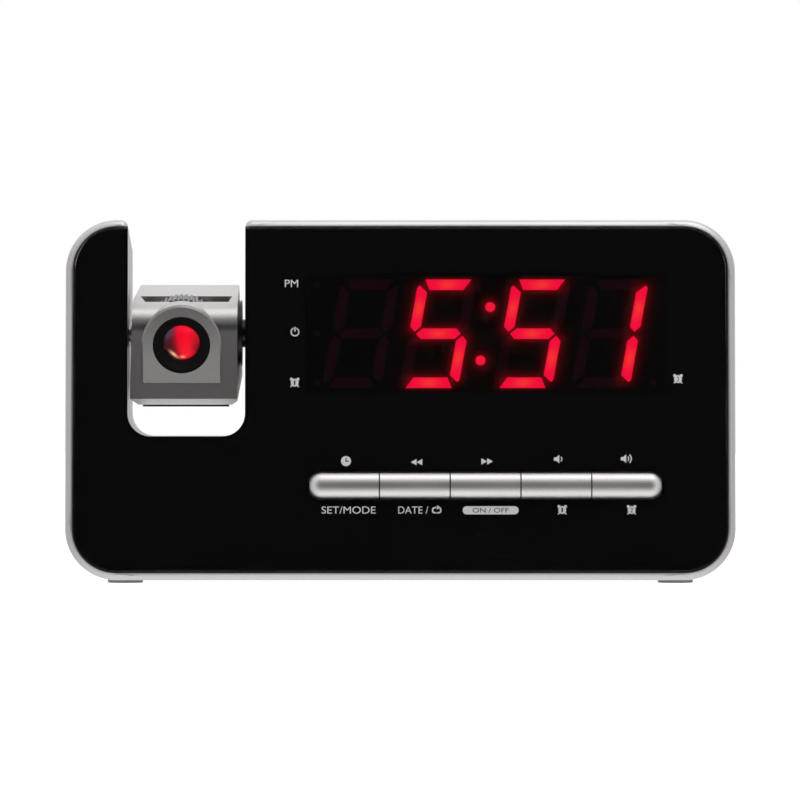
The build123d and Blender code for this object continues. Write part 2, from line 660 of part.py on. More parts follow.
def display_housing():
    """Block behind the window, with a pocket for each segment and dot."""
    body = place(FRONT, window_outline(DISPLAY_BORDER), STACK, BOARD_W)
    return body - segments(True) - segments(False) - colon_dots() - indicator_dots()


# ================================================================ control board
def control_board():
    """Board that carries the display, the key switches and the sensor."""
    sheet = Rectangle(BOARD_RIGHT - BOARD_LEFT, BOARD_HIGH - BOARD_LOW)
    body = place(FRONT, Pos(*BOARD_MIDDLE) * sheet, BOARD_W, BOARD_W + BOARD_THICK)
    for x, v in BOARD_POSTS:
        hole = Pos(x, v) * Circle(SCREW_RADIUS + SCREW_CLEAR)
        body = body - place(FRONT, hole, BOARD_W - OVER, BOARD_W + BOARD_THICK + OVER)
    return body


def control_board_chips():
    """Display driver, clock chip and small parts on the back of the control board."""
    face = BOARD_W + BOARD_THICK
    middle = Pos(*BOARD_MIDDLE)
    chips = [place(FRONT, middle * Pos(x, v) * Rectangle(wide, tall), face, face + thick)
             for x, v, wide, tall, thick in CONTROL_CHIPS]
    wide, tall, thick = SMALL_SIZE
    row = middle * Pos(*SMALL_ROW)
    offsets = [(step - (SMALL_PARTS - 1) / 2) * SMALL_PITCH for step in range(SMALL_PARTS)]
    small = [place(FRONT, row * Pos(x, 0) * Rectangle(wide, tall), face, face + thick)
             for x in offsets]
    return chips + small


def light_sensor():
    """Sensor that dims the display, in a tube through the front wall."""
    spot = Pos(SENSOR_X, SENSOR_V)
    tube = place(FRONT, spot * Circle(SENSOR_RADIUS - SENSOR_FIT), STACK, BOARD_W)
    collar = spot * Circle(SENSOR_RADIUS + SENSOR_COLLAR)
    return tube + place(FRONT, collar, WALL_BACK + SENSOR_COLLAR, BOARD_W)


# ================================================================ button bar
def bar_crown():
    """Domed top of the whole bar: half an elliptic rod with rounded ends."""
    half = BAR_HEIGHT / 2
    reach = BAR_WIDTH / 2 - half
    rod = rod_x(half, -reach, reach) + Pos(-reach, 0, 0) * Sphere(half) + Pos(reach, 0, 0) * Sphere(half)
    dome = scale(rod, by=(1, 1, (CROWN_HEIGHT - CROWN_LIFT) / half))
    dome = dome & Pos(0, 0, FAR / 2) * Box(FAR, FAR, FAR)
    return facing(FRONT, COLUMN_X, BAR_V, -CROWN_LIFT) * dome


def button_span(index):
    """Low and high X of one button."""
    pitch = BAR_WIDTH / BUTTON_COUNT
    low = COLUMN_X - BAR_WIDTH / 2 + index * pitch
    return low + BUTTON_SLIT / 2, low + pitch - BUTTON_SLIT / 2


def bar_button(index):
    """One button: crown, body through the plate, flange behind the wall, stem."""
    low, high = button_span(index)
    slot = place(FRONT, Pos((low + high) / 2, BAR_V) * Rectangle(high - low, FAR), -FAR, FAR)
    flange_w = WALL_BACK + FLANGE_CLEAR
    body = bar_crown() + place(FRONT, bar_outline(0), -CROWN_LIFT, flange_w)
    body = body + place(FRONT, bar_outline(FLANGE_WIDE), flange_w, flange_w + FLANGE_THICK)
    body = body & slot
    stem = Pos((low + high) / 2, BAR_V) * Rectangle(STEM_WIDE, STEM_WIDE)
    return body + place(FRONT, stem, flange_w, PLUNGER_W)


def plunger(plane, x, v, top, body_top):
    """Plunger of a key switch, from its top into the switch body."""
    return place(plane, Pos(x, v) * Circle(PLUNGER_RADIUS), top, body_top + SWITCH_PROUD)


def switch_body(plane, x, v, board, travel):
    """Square switch body on a board, with a cavity deeper than the plunger's travel."""
    top = board - SWITCH_HEIGHT
    body = place(plane, Pos(x, v) * Rectangle(SWITCH_SIZE, SWITCH_SIZE), top, board)
    deep = top + SWITCH_PROUD + travel + PLUNGER_CLEAR
    return body - place(plane, Pos(x, v) * Circle(PLUNGER_RADIUS + PLUNGER_CLEAR), top - OVER, deep)


def button_middles():
    """X of the middle of each button."""
    return [sum(button_span(index)) / 2 for index in range(BUTTON_COUNT)]


# ================================================================ top keys
KEY_SWITCH_TOP = KEY_BOARD_DEEP - SWITCH_HEIGHT
KEY_PLUNGER_TOP = KEY_SWITCH_TOP - SWITCH_PROUD


def top_key(x, length, wide):
    """Key in the sloping top: rounded cap, flange under the wall, stem."""
    cap = RectangleRounded(length, wide, wide / 4)
    body = place(TOP, Pos(x, KEY_ROW) * cap, -KEY_PROUD, WALL + FLANGE_CLEAR)
    body = fillet(body.faces().sort_by(Axis.Z)[-1].edges(), KEY_ROUND)
    flange = RectangleRounded(length + 2 * FLANGE_WIDE, wide + 2 * FLANGE_WIDE, wide / 4 + FLANGE_WIDE)
    flange_top = WALL + FLANGE_CLEAR
    body = body + place(TOP, Pos(x, KEY_ROW) * flange, flange_top, flange_top + FLANGE_THICK)
    stem = Pos(x, KEY_ROW) * Rectangle(STEM_WIDE, STEM_WIDE)
    return body + place(TOP, stem, flange_top, KEY_PLUNGER_TOP)


def key_holes():
    """Openings of the top keys."""
    holes = []
    keys = ((SNOOZE_X, SNOOZE_LENGTH, SNOOZE_WIDE), (BEAM_KEY_X, BEAM_KEY_LENGTH, BEAM_KEY_WIDE))
    for x, length, wide in keys:
        shape = RectangleRounded(length + 2 * KEY_CLEAR, wide + 2 * KEY_CLEAR, wide / 4 + KEY_CLEAR)
        holes.append(place(TOP, Pos(x, KEY_ROW) * shape, -WALL, WALL + OVER))
    return holes


def top_key_board():
    """Board under the top keys."""
    low = BEAM_KEY_X - BEAM_KEY_LENGTH / 2
    high = KEY_POSTS[-1] + POST_RADIUS + POST_EDGE
    sheet = Pos((low + high) / 2, KEY_ROW) * Rectangle(high - low, KEY_BOARD_WIDE)
    body = place(TOP, sheet, KEY_BOARD_DEEP, KEY_BOARD_DEEP + BOARD_THICK)
    for x in KEY_POSTS:
        hole = Pos(x, KEY_ROW) * Circle(SCREW_RADIUS + SCREW_CLEAR)
        body = body - place(TOP, hole, KEY_BOARD_DEEP - OVER, KEY_BOARD_DEEP + BOARD_THICK + OVER)
    return body


def key_switches():
    """Bodies of all key switches: five behind the bar, two under the top keys."""
    row = [switch_body(FRONT, x, BAR_V, BOARD_W, BUTTON_TRAVEL) for x in button_middles()]
    top = [switch_body(TOP, x, KEY_ROW, KEY_BOARD_DEEP, KEY_TRAVEL) for x in (SNOOZE_X, BEAM_KEY_X)]
    return row + top


# ================================================================ battery bay
BAY_WIDE = BATTERY_LENGTH + BATTERY_NUB + 2 * BAY_END
BAY_HIGH = 4 * BATTERY_RADIUS + 3 * BATTERY_GAP
BAY_LEDGE_Y = Y_BACK - DOOR_THICK - FLANGE_CLEAR
BAY_FLOOR_Y = BAY_LEDGE_Y - 2 * BATTERY_RADIUS - BATTERY_GAP


def bay_box(grow, y0, y1):
    """Box round the battery bay, its sides moved out by grow."""
    half_x = BAY_WIDE / 2 + grow
    half_z = BAY_HIGH / 2 + grow
    return box_at((BAY_X - half_x, BAY_X + half_x), (y0, y1),
                  (BASE + BAY_Z - half_z, BASE + BAY_Z + half_z))


def door_outline(grow):
    """Outline of the battery door's recess, moved out by grow."""
    wide = BAY_WIDE + 2 * (DOOR_LEDGE + grow)
    high = BAY_HIGH + 2 * (DOOR_LEDGE + grow)
    return Pos(BAY_X, BAY_Z) * RectangleRounded(wide, high, DOOR_LEDGE + grow)


def battery_door():
    """Door flush with the back, with finger ridges below its top edge."""
    body = place(BACK, door_outline(-DOOR_CLEAR), -DOOR_THICK, 0)
    high = BAY_HIGH / 2 + DOOR_LEDGE - DOOR_CLEAR
    for step in range(RIDGES):
        rise = BAY_Z + high - RIDGE_EDGE - RIDGE_PITCH * step
        ridge = Pos(BAY_X, rise) * SlotOverall(RIDGE_LONG - RIDGE_STEP * step, RIDGE_WIDE)
        body = body - place(BACK, ridge, -RIDGE_DEEP, OVER)
    return body


def battery_axes():
    """Y and Z of the two cells' axes."""
    y = BAY_FLOOR_Y + BATTERY_GAP / 2 + BATTERY_RADIUS
    rise = BATTERY_RADIUS + BATTERY_GAP / 2
    return [(y, BASE + BAY_Z - rise, 1), (y, BASE + BAY_Z + rise, -1)]


def backup_cells():
    """Two cells side by side, pointing opposite ways."""
    cells = []
    for y, z, way in battery_axes():
        start = BAY_X - way * (BATTERY_LENGTH + BATTERY_NUB) / 2
        can = rod_x(BATTERY_RADIUS, *sorted((start, start + way * BATTERY_LENGTH)), y, z)
        can = fillet(can.edges().filter_by(GeomType.CIRCLE), BATTERY_ROUND)
        ends = sorted((start + way * BATTERY_LENGTH / 2, start + way * (BATTERY_LENGTH + BATTERY_NUB)))
        cells.append(can + rod_x(BATTERY_NUB_RADIUS, *ends, y, z))
    return cells


def battery_contacts():
    """Flat contact plates at both ends of the bay, with a coil spring at each flat cell end."""
    pieces = []
    for y, z, way in battery_axes():
        for end in (-1, 1):
            wall = BAY_X + end * BAY_WIDE / 2
            plate = box_at(sorted((wall, wall - end * CONTACT_THICK)),
                           (y - CONTACT_HALF, y + CONTACT_HALF), (z - CONTACT_HALF, z + CONTACT_HALF))
            if end == -way:
                reach = BAY_END - CONTACT_THICK
                coil = Helix(reach / SPRING_TURNS, reach - 2 * SPRING_WIRE, BATTERY_RADIUS / 2)
                ring = sweep(Plane(coil @ 0, z_dir=coil % 0) * Circle(SPRING_WIRE), path=coil)
                turned = Rotation(0, -90 * end, 0) * Pos(0, 0, SPRING_WIRE) * ring
                plate = plate + Pos(wall - end * CONTACT_THICK, y, z) * turned
            pieces.append(plate)
    return pieces


# ================================================================ loudspeaker
SPEAKER_SEAT = Y_BACK - WALL


def about_speaker(points):
    """Solid turned about the loudspeaker's axis; points are radius and distance ahead of its seat."""
    face = Polygon(*[(radius, ahead) for radius, ahead in points], align=None)
    turned = revolve(face, Axis.Y)
    return Pos(SPEAKER_X, SPEAKER_SEAT, BASE + SPEAKER_Z) * Rotation(180, 0, 0) * turned


def speaker_frame():
    """Steel basket: flat flange, sloping wall with four windows, seat of the magnet."""
    body = about_speaker([
        (SPEAKER_SURROUND, 0), (SPEAKER_RADIUS, 0), (SPEAKER_RADIUS, SPEAKER_FLANGE),
        (SPEAKER_SURROUND + SPEAKER_FLANGE, SPEAKER_FLANGE), (BASKET_SMALL, BASKET_DEEP),
        (SPEAKER_HOLE, BASKET_DEEP), (SPEAKER_HOLE, BASKET_DEEP - SHEET),
        (BASKET_SMALL - SHEET, BASKET_DEEP - SHEET),
        (SPEAKER_SURROUND, SPEAKER_FLANGE)])
    middle = SPEAKER_SEAT - (SPEAKER_FLANGE + BASKET_DEEP) / 2
    for turn in range(4):
        window = Rotation(0, 45 + 90 * turn, 0) * Pos(SPEAKER_RADIUS * 0.75, 0, 0) * Box(
            SPEAKER_RADIUS * 0.8, BASKET_DEEP * 0.45, SPEAKER_RADIUS * 0.45)
        body = body - Pos(SPEAKER_X, middle, BASE + SPEAKER_Z) * window
    return body


def speaker_cone():
    """Paper cone with its surround, its dust cap and the coil's tube."""
    edge = SPEAKER_SURROUND
    outer = [(0, 1.2), (4.5, 2.6), (5.0, 2.9), (edge - 2.5, 0.9), (edge - 1.2, 0.35), (edge, 0.5)]
    inner = [(edge, 0.9), (edge - 1.2, 0.75), (edge - 2.5, 1.3), (SPEAKER_HOLE, 4.6)]
    tube = [(SPEAKER_COIL, BASKET_DEEP - 1.2), (SPEAKER_COIL - 0.5, BASKET_DEEP - 1.2)]
    cap = [(SPEAKER_COIL - 0.5, 3.2), (0, 1.7)]
    return about_speaker(outer + inner + tube + cap)


def speaker_magnet():
    """Ring magnet with its back plate."""
    small = MAGNET_RADIUS - SHEET
    back = BASKET_DEEP + MAGNET_DEEP
    return about_speaker([
        (0, BASKET_DEEP), (small, BASKET_DEEP), (small, BASKET_DEEP + SHEET),
        (MAGNET_RADIUS, BASKET_DEEP + SHEET), (MAGNET_RADIUS, back - MAGNET_STEP),
        (small, back - MAGNET_STEP), (small, back), (0, back)])


def speaker_ring():
    """Raised ring inside the back that centres the loudspeaker."""
    inner = SPEAKER_RADIUS + SPEAKER_CLEAR
    spot = (SPEAKER_X, BASE + SPEAKER_Z)
    ring = rod_y(inner + RING_WALL, SPEAKER_SEAT - RING_HIGH, SPEAKER_SEAT + WALL / 2, *spot)
    return ring - rod_y(inner, SPEAKER_SEAT - RING_HIGH - OVER, SPEAKER_SEAT, *spot)


def grille_slots():
    """Upright slots through the back wall, inside the grille's circle."""
    cuts = []
    for step in range(GRILLE_SLOTS):
        off = (step - (GRILLE_SLOTS - 1) / 2) * GRILLE_PITCH
        tall = 2 * math.sqrt(GRILLE_RADIUS ** 2 - off ** 2)
        slot = Pos(SPEAKER_X + off, SPEAKER_Z) * Rotation(0, 0, 90) * SlotOverall(tall, GRILLE_SLOT)
        cuts.append(place(BACK, slot, -WALL - OVER, OVER))
    return cuts


# ================================================================ main board and power inlet
MAIN_TOP = FLOOR_Z + MAIN_HIGH + BOARD_THICK
JACK_AXIS_Z = MAIN_TOP + JACK_HIGH / 2 + JACK_RISE


def main_board_span():
    """X and Y ranges of the main board."""
    return ((MAIN_X - MAIN_WIDE / 2, MAIN_X + MAIN_WIDE / 2),
            (MAIN_Y - MAIN_DEEP / 2, MAIN_Y + MAIN_DEEP / 2))


def main_posts():
    """Centres of the four posts under the main board."""
    (x0, x1), (y0, y1) = main_board_span()
    edge = POST_RADIUS + POST_EDGE
    return [(x, y) for x in (x0 + edge, x1 - edge) for y in (y0 + edge, y1 - edge)]


def main_board():
    """Radio, sound and power board, level above the case floor."""
    body = box_at(*main_board_span(), (FLOOR_Z + MAIN_HIGH, MAIN_TOP))
    return body - [rod_z(SCREW_RADIUS + SCREW_CLEAR, 0, FAR / 4, x, y) for x, y in main_posts()]


def on_main_board(x, share, wide, deep, high):
    """Block standing on the main board, x from its centre and y as a share of its depth."""
    return Pos(MAIN_X + x, MAIN_Y + share * MAIN_DEEP, MAIN_TOP + high / 2) * Box(wide, deep, high)


def main_board_parts():
    """Chips, regulator, crystal and two upright capacitors on the main board."""
    cans = [rod_z(radius, MAIN_TOP, MAIN_TOP + high, MAIN_X + x, MAIN_Y + share * MAIN_DEEP)
            for x, share, radius, high in MAIN_CANS]
    cans = [fillet(can.edges().group_by(Axis.Z)[-1], CAN_ROUND) for can in cans]
    return [on_main_board(*chip) for chip in MAIN_CHIPS] + cans


def tuner_can():
    """Screened tuner, a folded metal box."""
    return on_main_board(*TUNER)


def jack_box(grow):
    """Outline box of the power inlet, its sides moved out by grow."""
    half = JACK_WIDE / 2 + grow
    return box_at((JACK_X - half, JACK_X + half), (Y_BACK - JACK_DEEP, Y_BACK),
                  (MAIN_TOP - grow, MAIN_TOP + JACK_HIGH + grow))


def dc_jack():
    """Power inlet with a round socket and its centre pin."""
    floor = Y_BACK - JACK_BORE_DEEP
    body = jack_box(0) - rod_y(JACK_BORE, floor, Y_BACK + OVER, JACK_X, JACK_AXIS_Z)
    return body + rod_y(JACK_PIN, floor - OVER, Y_BACK - JACK_PIN_BACK, JACK_X, JACK_AXIS_Z)


# ================================================================ rear cabinet
def rear_cabinet():
    """Rear moulding: back, bosses, battery bay, grille, key openings, inlet and seats."""
    body = (case_skin() - between(-FAR, SPLIT)) - case_hollow()
    body = body - (between(SPLIT, SPLIT + SEAM_GAP) - case_form(SEAM_DEEP) - notch_prism(WALL))
    body = body + (case_bosses() - between(-FAR, SPLIT))
    body = body + bay_box(DOOR_LEDGE + BAY_WALL, BAY_FLOOR_Y - BAY_WALL, Y_BACK - WALL / 2)
    body = body - bay_box(0, BAY_FLOOR_Y, Y_BACK + OVER)
    body = body - place(BACK, door_outline(0), -DOOR_THICK - FLANGE_CLEAR, OVER)
    body = body + speaker_ring()
    for x, y in main_posts():
        body = body + rod_z(POST_RADIUS, FLOOR_Z - WALL / 2, FLOOR_Z + MAIN_HIGH, x, y)
        body = body - rod_z(SCREW_RADIUS, MAIN_TOP - BOARD_SCREW, MAIN_TOP, x, y)
    for x in KEY_POSTS:
        body = body + place(TOP, Pos(x, KEY_ROW) * Circle(POST_RADIUS), WALL / 2, KEY_BOARD_DEEP)
        pilot = Pos(x, KEY_ROW) * Circle(SCREW_RADIUS)
        body = body - place(TOP, pilot, KEY_BOARD_DEEP + BOARD_THICK - BOARD_SCREW, KEY_BOARD_DEEP)
    body = body - jack_box(JACK_CLEAR) - grille_slots() - key_holes()
    body = body - place(BACK, Pos(LABEL_X, LABEL_Z) * label_outline(), -LABEL_THICK, OVER)
    return body - grommet_hole() - screw_holes() - bearing_holes() - foot_pockets()


def label_outline():
    """Outline of the blank rating plate."""
    return RectangleRounded(LABEL_WIDE, LABEL_HIGH, LABEL_CORNER)


def rating_plate():
    """Blank plate in its shallow recess in the back."""
    return place(BACK, Pos(LABEL_X, LABEL_Z) * label_outline(), -LABEL_THICK, 0)


def grommet_rod(radius, y0, y1):
    """Cylinder on the grommet's axis."""
    return rod_y(radius, y0, y1, GROMMET_X, BASE + GROMMET_Z)


GROMMET_SEAT = Y_BACK + GROMMET_PROUD - GROMMET_LIP_THICK


def grommet_hole():
    """Hole of the grommet, with a shallow recess for its outer lip."""
    neck = grommet_rod(GROMMET_RADIUS, Y_BACK - WALL - OVER, Y_BACK + OVER)
    return [neck, grommet_rod(GROMMET_RADIUS + GROMMET_LIP, GROMMET_SEAT, Y_BACK + OVER)]


def antenna_grommet():
    """Rubber grommet at the exit of the aerial wire."""
    body = grommet_rod(GROMMET_RADIUS, Y_BACK - WALL, Y_BACK)
    for start in (Y_BACK - WALL - GROMMET_LIP_THICK, GROMMET_SEAT):
        body = body + grommet_rod(GROMMET_RADIUS + GROMMET_LIP, start, start + GROMMET_LIP_THICK)
    return body - grommet_rod(GROMMET_BORE, Y_BACK - WALL - 2 * OVER, Y_BACK + OVER)


def rubber_feet():
    """Four round feet, chamfered where they touch the table."""
    feet = [rod_z(FOOT_RADIUS, 0, BASE + FOOT_RECESS, x, y) for x, y in foot_places()]
    return [chamfer(foot.edges().group_by(Axis.Z)[0], FOOT_PROUD / 3) for foot in feet]


def case_screws():
    """Four long screws from the back into the front bosses."""
    return [Location((x, y, z)) * Rotation(-90, 0, 0) * screw(CASE_SCREW)
            for x, y, z in case_screw_places()]


def board_screws():
    """Screws of the control board, the main board and the top key board."""
    behind = BOARD_W + BOARD_THICK
    front = [facing(FRONT, x, v, behind) * Rotation(180, 0, 0) * screw(BOARD_SCREW) for x, v in BOARD_POSTS]
    main = [Pos(x, y, MAIN_TOP) * screw(BOARD_SCREW) for x, y in main_posts()]
    under = KEY_BOARD_DEEP + BOARD_THICK
    top = [facing(TOP, x, KEY_ROW, under) * Rotation(180, 0, 0) * screw(BOARD_SCREW) for x in KEY_POSTS]
    return front + main + top


# ================================================================ projector head
# Pieces of the head are drawn about the pivot axis, level, and pitched into place at the end.
SIDE_VIEW = Plane(origin=(0, 0, 0), x_dir=(0, 1, 0), z_dir=(1, 0, 0))
FRONT_VIEW = Plane(origin=(0, 0, 0), x_dir=(1, 0, 0), z_dir=(0, -1, 0))
RING_FRONT = -SLOT_FRONT + RING_INSET
BARREL_FRONT = -HEAD_FRONT - ARCH_PROUD + BARREL_RECESS
SLIDE_Y = BARREL_FRONT + BARREL_LENGTH + BARREL_TRAVEL + SLIDE_CLEAR
LAMP_BOARD_Y = HEAD_BACK - HEAD_WALL - LAMP_BOARD_THICK
HEAD_SCREW_Y = HEAD_BACK - HEAD_SCREW_SUNK


def head_form(inset):
    """Body of the head: side outline, drafted front outline and tapered plan, drawn in by inset."""
    y0, y1 = -HEAD_FRONT + inset, HEAD_BACK - inset
    z0, z1 = -HEAD_BOTTOM + inset, HEAD_TOP - inset
    rise = z0 + HEAD_CHAMFER_HIGH
    side = Polygon((y0, z1), (y0, rise), (y0 + HEAD_CHAMFER_DEEP, z0), (y1 - HEAD_CHAMFER_DEEP, z0),
                   (y1, rise), (y1, z1), align=None)
    side = fillet(side.vertices().group_by(Axis.Y)[-1].sort_by(Axis.X)[0], HEAD_ROUND - inset)
    back_round = max(HEAD_BACK_ROUND - inset, INNER_ROUND)
    side = fillet(side.vertices().group_by(Axis.Y)[-1].sort_by(Axis.X)[-1], back_round)
    x0, x1 = HEAD_LEFT + inset, HEAD_RIGHT - inset
    wide = x1 + HEAD_RIGHT_FLARE
    front = Polygon((x0 + HEAD_DRAFT, z1), (x0, rise), (x0 + HEAD_CHAMFER_SIDE, z0),
                    (wide - HEAD_CHAMFER_SIDE, z0), (wide, rise), (wide - HEAD_DRAFT, z1), align=None)
    plan = Polygon((x0, y0), (x1, y0), (x1 + HEAD_RIGHT_FLARE, y1), (x0 + HEAD_LEFT_TAPER, y1),
                   align=None)
    body = extrude(SIDE_VIEW * side, amount=FAR / 2, both=True)
    body = body & extrude(FRONT_VIEW * front, amount=FAR / 2, both=True)
    return body & extrude(plan, amount=FAR / 2, both=True)


def head_half(sign):
    """Everything ahead of (-1) or behind (1) the parting plane of the head."""
    return Pos(0, sign * FAR / 2, 0) * Box(2 * FAR, FAR, FAR)


def head_pivot_holes():
    """Holes of the hub's neck and of the pin."""
    left_end = HEAD_LEFT + HEAD_WALL + HEAD_LEFT_TAPER
    return [rod_x(SHAFT_RADIUS, HEAD_MIDDLE, FAR), rod_x(PIN_RADIUS, -FAR, left_end)]


def head_screw_xs():
    """X of the two screws that hold the head together."""
    return [HEAD_MIDDLE - HEAD_SCREW_X, HEAD_MIDDLE + HEAD_SCREW_X]


def arch_outline():
    """Outline of the boss round the lens: a half circle on a block."""
    crown = Circle(ARCH_RADIUS) & Pos(0, ARCH_RADIUS / 2) * Rectangle(2 * ARCH_RADIUS, ARCH_RADIUS)
    block = Pos(0, -ARCH_FOOT / 2) * Rectangle(2 * ARCH_RADIUS, ARCH_FOOT)
    return Pos(LENS_X, 0) * (crown + block)


def slot_outline(inset):
    """Outline of the roof slot seen from above, with its two ends drawn in by inset."""
    middle = HEAD_MIDDLE + SLOT_OFFSET
    left, right = middle - SLOT_WIDTH / 2 + inset, middle + SLOT_WIDTH / 2 - inset
    return Polygon((left + SLOT_LEFT_TAPER, -SLOT_FRONT), (right - SLOT_RIGHT_TAPER, -SLOT_FRONT),
                   (right, OVER), (left, OVER), align=None)


def roof_slot():
    """Cutter of the slot that the focus ring stands up through: bevelled ends over straight ones."""
    low = Plane.XY.offset(HEAD_TOP - SLOT_BEVEL) * slot_outline(SLOT_BEVEL)
    high = Plane.XY.offset(HEAD_TOP + OVER) * slot_outline(-OVER)
    under = Plane.XY.offset(HEAD_TOP - 2 * HEAD_WALL) * slot_outline(SLOT_BEVEL)
    return loft([low, high], ruled=True) + extrude(under, amount=2 * HEAD_WALL, dir=(0, 0, 1))


def head_front_shell():
    """Front half of the head, with the arched boss, the lens bore and the roof slot."""
    body = (head_form(0) & head_half(-1)) - head_form(HEAD_WALL)
    reach = HEAD_FRONT - SLOT_FRONT - HEAD_WALL
    boss = extrude(FRONT_VIEW.offset(HEAD_FRONT - reach) * arch_outline(), amount=reach + ARCH_PROUD)
    body = body + chamfer(boss.faces().sort_by(Axis.Y)[0].edges(), ARCH_EDGE)
    body = body + rod_y(BARREL_RADIUS + HEAD_WALL, -HEAD_FRONT, RING_FRONT - RING_FIT, LENS_X)
    for x in head_screw_xs():
        post = rod_y(SCREW_HEAD_RADIUS, -HEAD_FRONT, 0, x, HEAD_SCREW_Z) & head_form(HEAD_WALL / 2)
        body = body + post - rod_y(SCREW_RADIUS, -SCREW_BITE, 0, x, HEAD_SCREW_Z)
    body = body - rod_y(BARREL_RADIUS + BARREL_FIT, -FAR / 2, 0, LENS_X)
    return body - roof_slot() - head_pivot_holes()


def head_rear_shell():
    """Rear half of the head, with two screw tubes."""
    body = (head_form(0) & head_half(1)) - head_form(HEAD_WALL)
    for x in head_screw_xs():
        tube = rod_y(HEAD_TUBE_RADIUS, 0, HEAD_BACK, x, HEAD_SCREW_Z) & head_form(HEAD_WALL / 2)
        body = body + tube
        body = body - rod_y(SCREW_RADIUS + SCREW_CLEAR, 0, HEAD_BACK, x, HEAD_SCREW_Z)
        body = body - rod_y(SCREW_HEAD_RADIUS + SCREW_CLEAR, HEAD_SCREW_Y, FAR, x, HEAD_SCREW_Z)
    return body - head_pivot_holes()


def head_screws():
    """Two screws from the back of the head."""
    return [Pos(x, HEAD_SCREW_Y, HEAD_SCREW_Z) * Rotation(-90, 0, 0) * screw(HEAD_SCREW_Y + SCREW_BITE)
            for x in head_screw_xs()]


def head_base_plate():
    """Black cover under the head."""
    x0, x1 = HEAD_LEFT + PLATE_INSET, HEAD_RIGHT - PLATE_INSET
    y0 = -HEAD_FRONT + PLATE_INSET
    return box_at((x0 + HEAD_LEFT_TAPER / 2, x1), (y0, -y0), (-HEAD_BOTTOM - PLATE_UNDER, -HEAD_BOTTOM))


def about_lens(points):
    """Solid turned about the lens axis; points are radius and y."""
    turned = revolve(Polygon(*points, align=None), Axis.Y)
    return Pos(LENS_X, 0, 0) * turned


def lens_barrel():
    """Black tube with a funnel at the front and a seat for the lens."""
    front = BARREL_FRONT
    seat = front + LENS_SETBACK
    back = front + BARREL_LENGTH
    lip = LENS_RADIUS - LENS_LIP
    return about_lens([
        (BARREL_RADIUS, front), (BARREL_RADIUS, back), (BARREL_RADIUS - BARREL_WALL, back),
        (BARREL_RADIUS - BARREL_WALL, seat + LENS_THICK), (LENS_RADIUS, seat + LENS_THICK),
        (LENS_RADIUS, seat), (lip, seat), (lip, seat - LIP_THICK), (BARREL_RADIUS - BARREL_EDGE, front)])


def projection_lens():
    """Lens with a domed front and a flat back."""
    seat = BARREL_FRONT + LENS_SETBACK
    dome_radius = (LENS_RADIUS ** 2 + LENS_CROWN ** 2) / (2 * LENS_CROWN)
    dome = Pos(LENS_X, seat - LENS_CROWN + dome_radius, 0) * Sphere(dome_radius)
    body = dome & rod_y(LENS_RADIUS - LENS_LIP, seat - LENS_CROWN - OVER, seat, LENS_X)
    return body + rod_y(LENS_RADIUS, seat, seat + LENS_THICK, LENS_X)


def focus_ring():
    """Ribbed ring that turns on the barrel and shows in the roof slot."""
    points = []
    for step in range(RING_TEETH):
        for part, radius in ((0.0, RING_RADIUS), (0.45, RING_RADIUS), (0.55, RING_RADIUS - RING_TOOTH_DEEP),
                             (0.9, RING_RADIUS - RING_TOOTH_DEEP)):
            angle = 2 * math.pi * (step + part) / RING_TEETH
            points.append((radius * math.cos(angle), radius * math.sin(angle)))
    body = place(FRONT_VIEW, Polygon(*points, align=None), 0, RING_WIDTH)
    body = Pos(LENS_X, RING_FRONT, 0) * body
    return body - rod_y(BARREL_RADIUS + RING_FIT, -FAR / 2, FAR / 2, LENS_X)


def light_tube():
    """Square black tube from the lamp to the time slide, with a round seat for the condenser."""
    half = TUBE_SIZE / 2
    body = box_at((LENS_X - half, LENS_X + half), (SLIDE_Y, LAMP_BOARD_Y), (-half, half))
    hole = SLIDE_SIZE / 2
    body = body - box_at((LENS_X - hole, LENS_X + hole), (SLIDE_Y, SLIDE_Y + SLIDE_THICK), (-hole, hole))
    return body - rod_y(CONDENSER_RADIUS, SLIDE_Y, LAMP_BOARD_Y, LENS_X)


def time_slide():
    """Small clear cell that carries the time as dark digits."""
    hole = SLIDE_SIZE / 2
    return box_at((LENS_X - hole, LENS_X + hole), (SLIDE_Y, SLIDE_Y + SLIDE_THICK), (-hole, hole))


def condenser_lens():
    """Lens between the lamp and the time slide."""
    start = SLIDE_Y + SLIDE_THICK
    return rod_y(CONDENSER_RADIUS, start, start + CONDENSER_THICK, LENS_X)


def projector_lamp():
    """Red lamp on its board."""
    body = rod_y(LAMP_RADIUS, LAMP_BOARD_Y - LAMP_LENGTH, LAMP_BOARD_Y, LENS_X)
    return fillet(body.edges().sort_by(Axis.Y)[0], LAMP_ROUND)


def lamp_board():
    """Square board against the back of the head."""
    half = LAMP_BOARD_SIZE / 2
    return box_at((LENS_X - half, LENS_X + half), (LAMP_BOARD_Y, LAMP_BOARD_Y + LAMP_BOARD_THICK),
                  (-half, half))


def pivot_hub():
    """Black friction hub with a hollow shaft through the right notch wall."""
    start = HEAD_RIGHT - HEAD_DRAFT
    disc = rod_x(HUB_RADIUS, start, HEAD_RIGHT + HUB_THICK) - head_form(0)
    inside = HEAD_RIGHT - HEAD_DRAFT - HEAD_WALL
    end = NOTCH_RIGHT + WALL + SPRING_CLEAR + SPRING_THICK + COLLAR_THICK
    disc = disc + rod_x(SHAFT_RADIUS, inside, end)
    disc = disc + rod_x(INNER_FLANGE_RADIUS, inside - INNER_FLANGE_THICK, inside)
    face = HEAD_RIGHT + HUB_THICK
    groove = rod_x(HUB_RADIUS + OVER, face - 2 * HUB_GROOVE, face - HUB_GROOVE)
    groove = groove - rod_x(HUB_RADIUS - HUB_GROOVE, HEAD_RIGHT, face)
    return disc - groove - rod_x(SHAFT_BORE, inside - 2 * INNER_FLANGE_THICK, end + OVER)


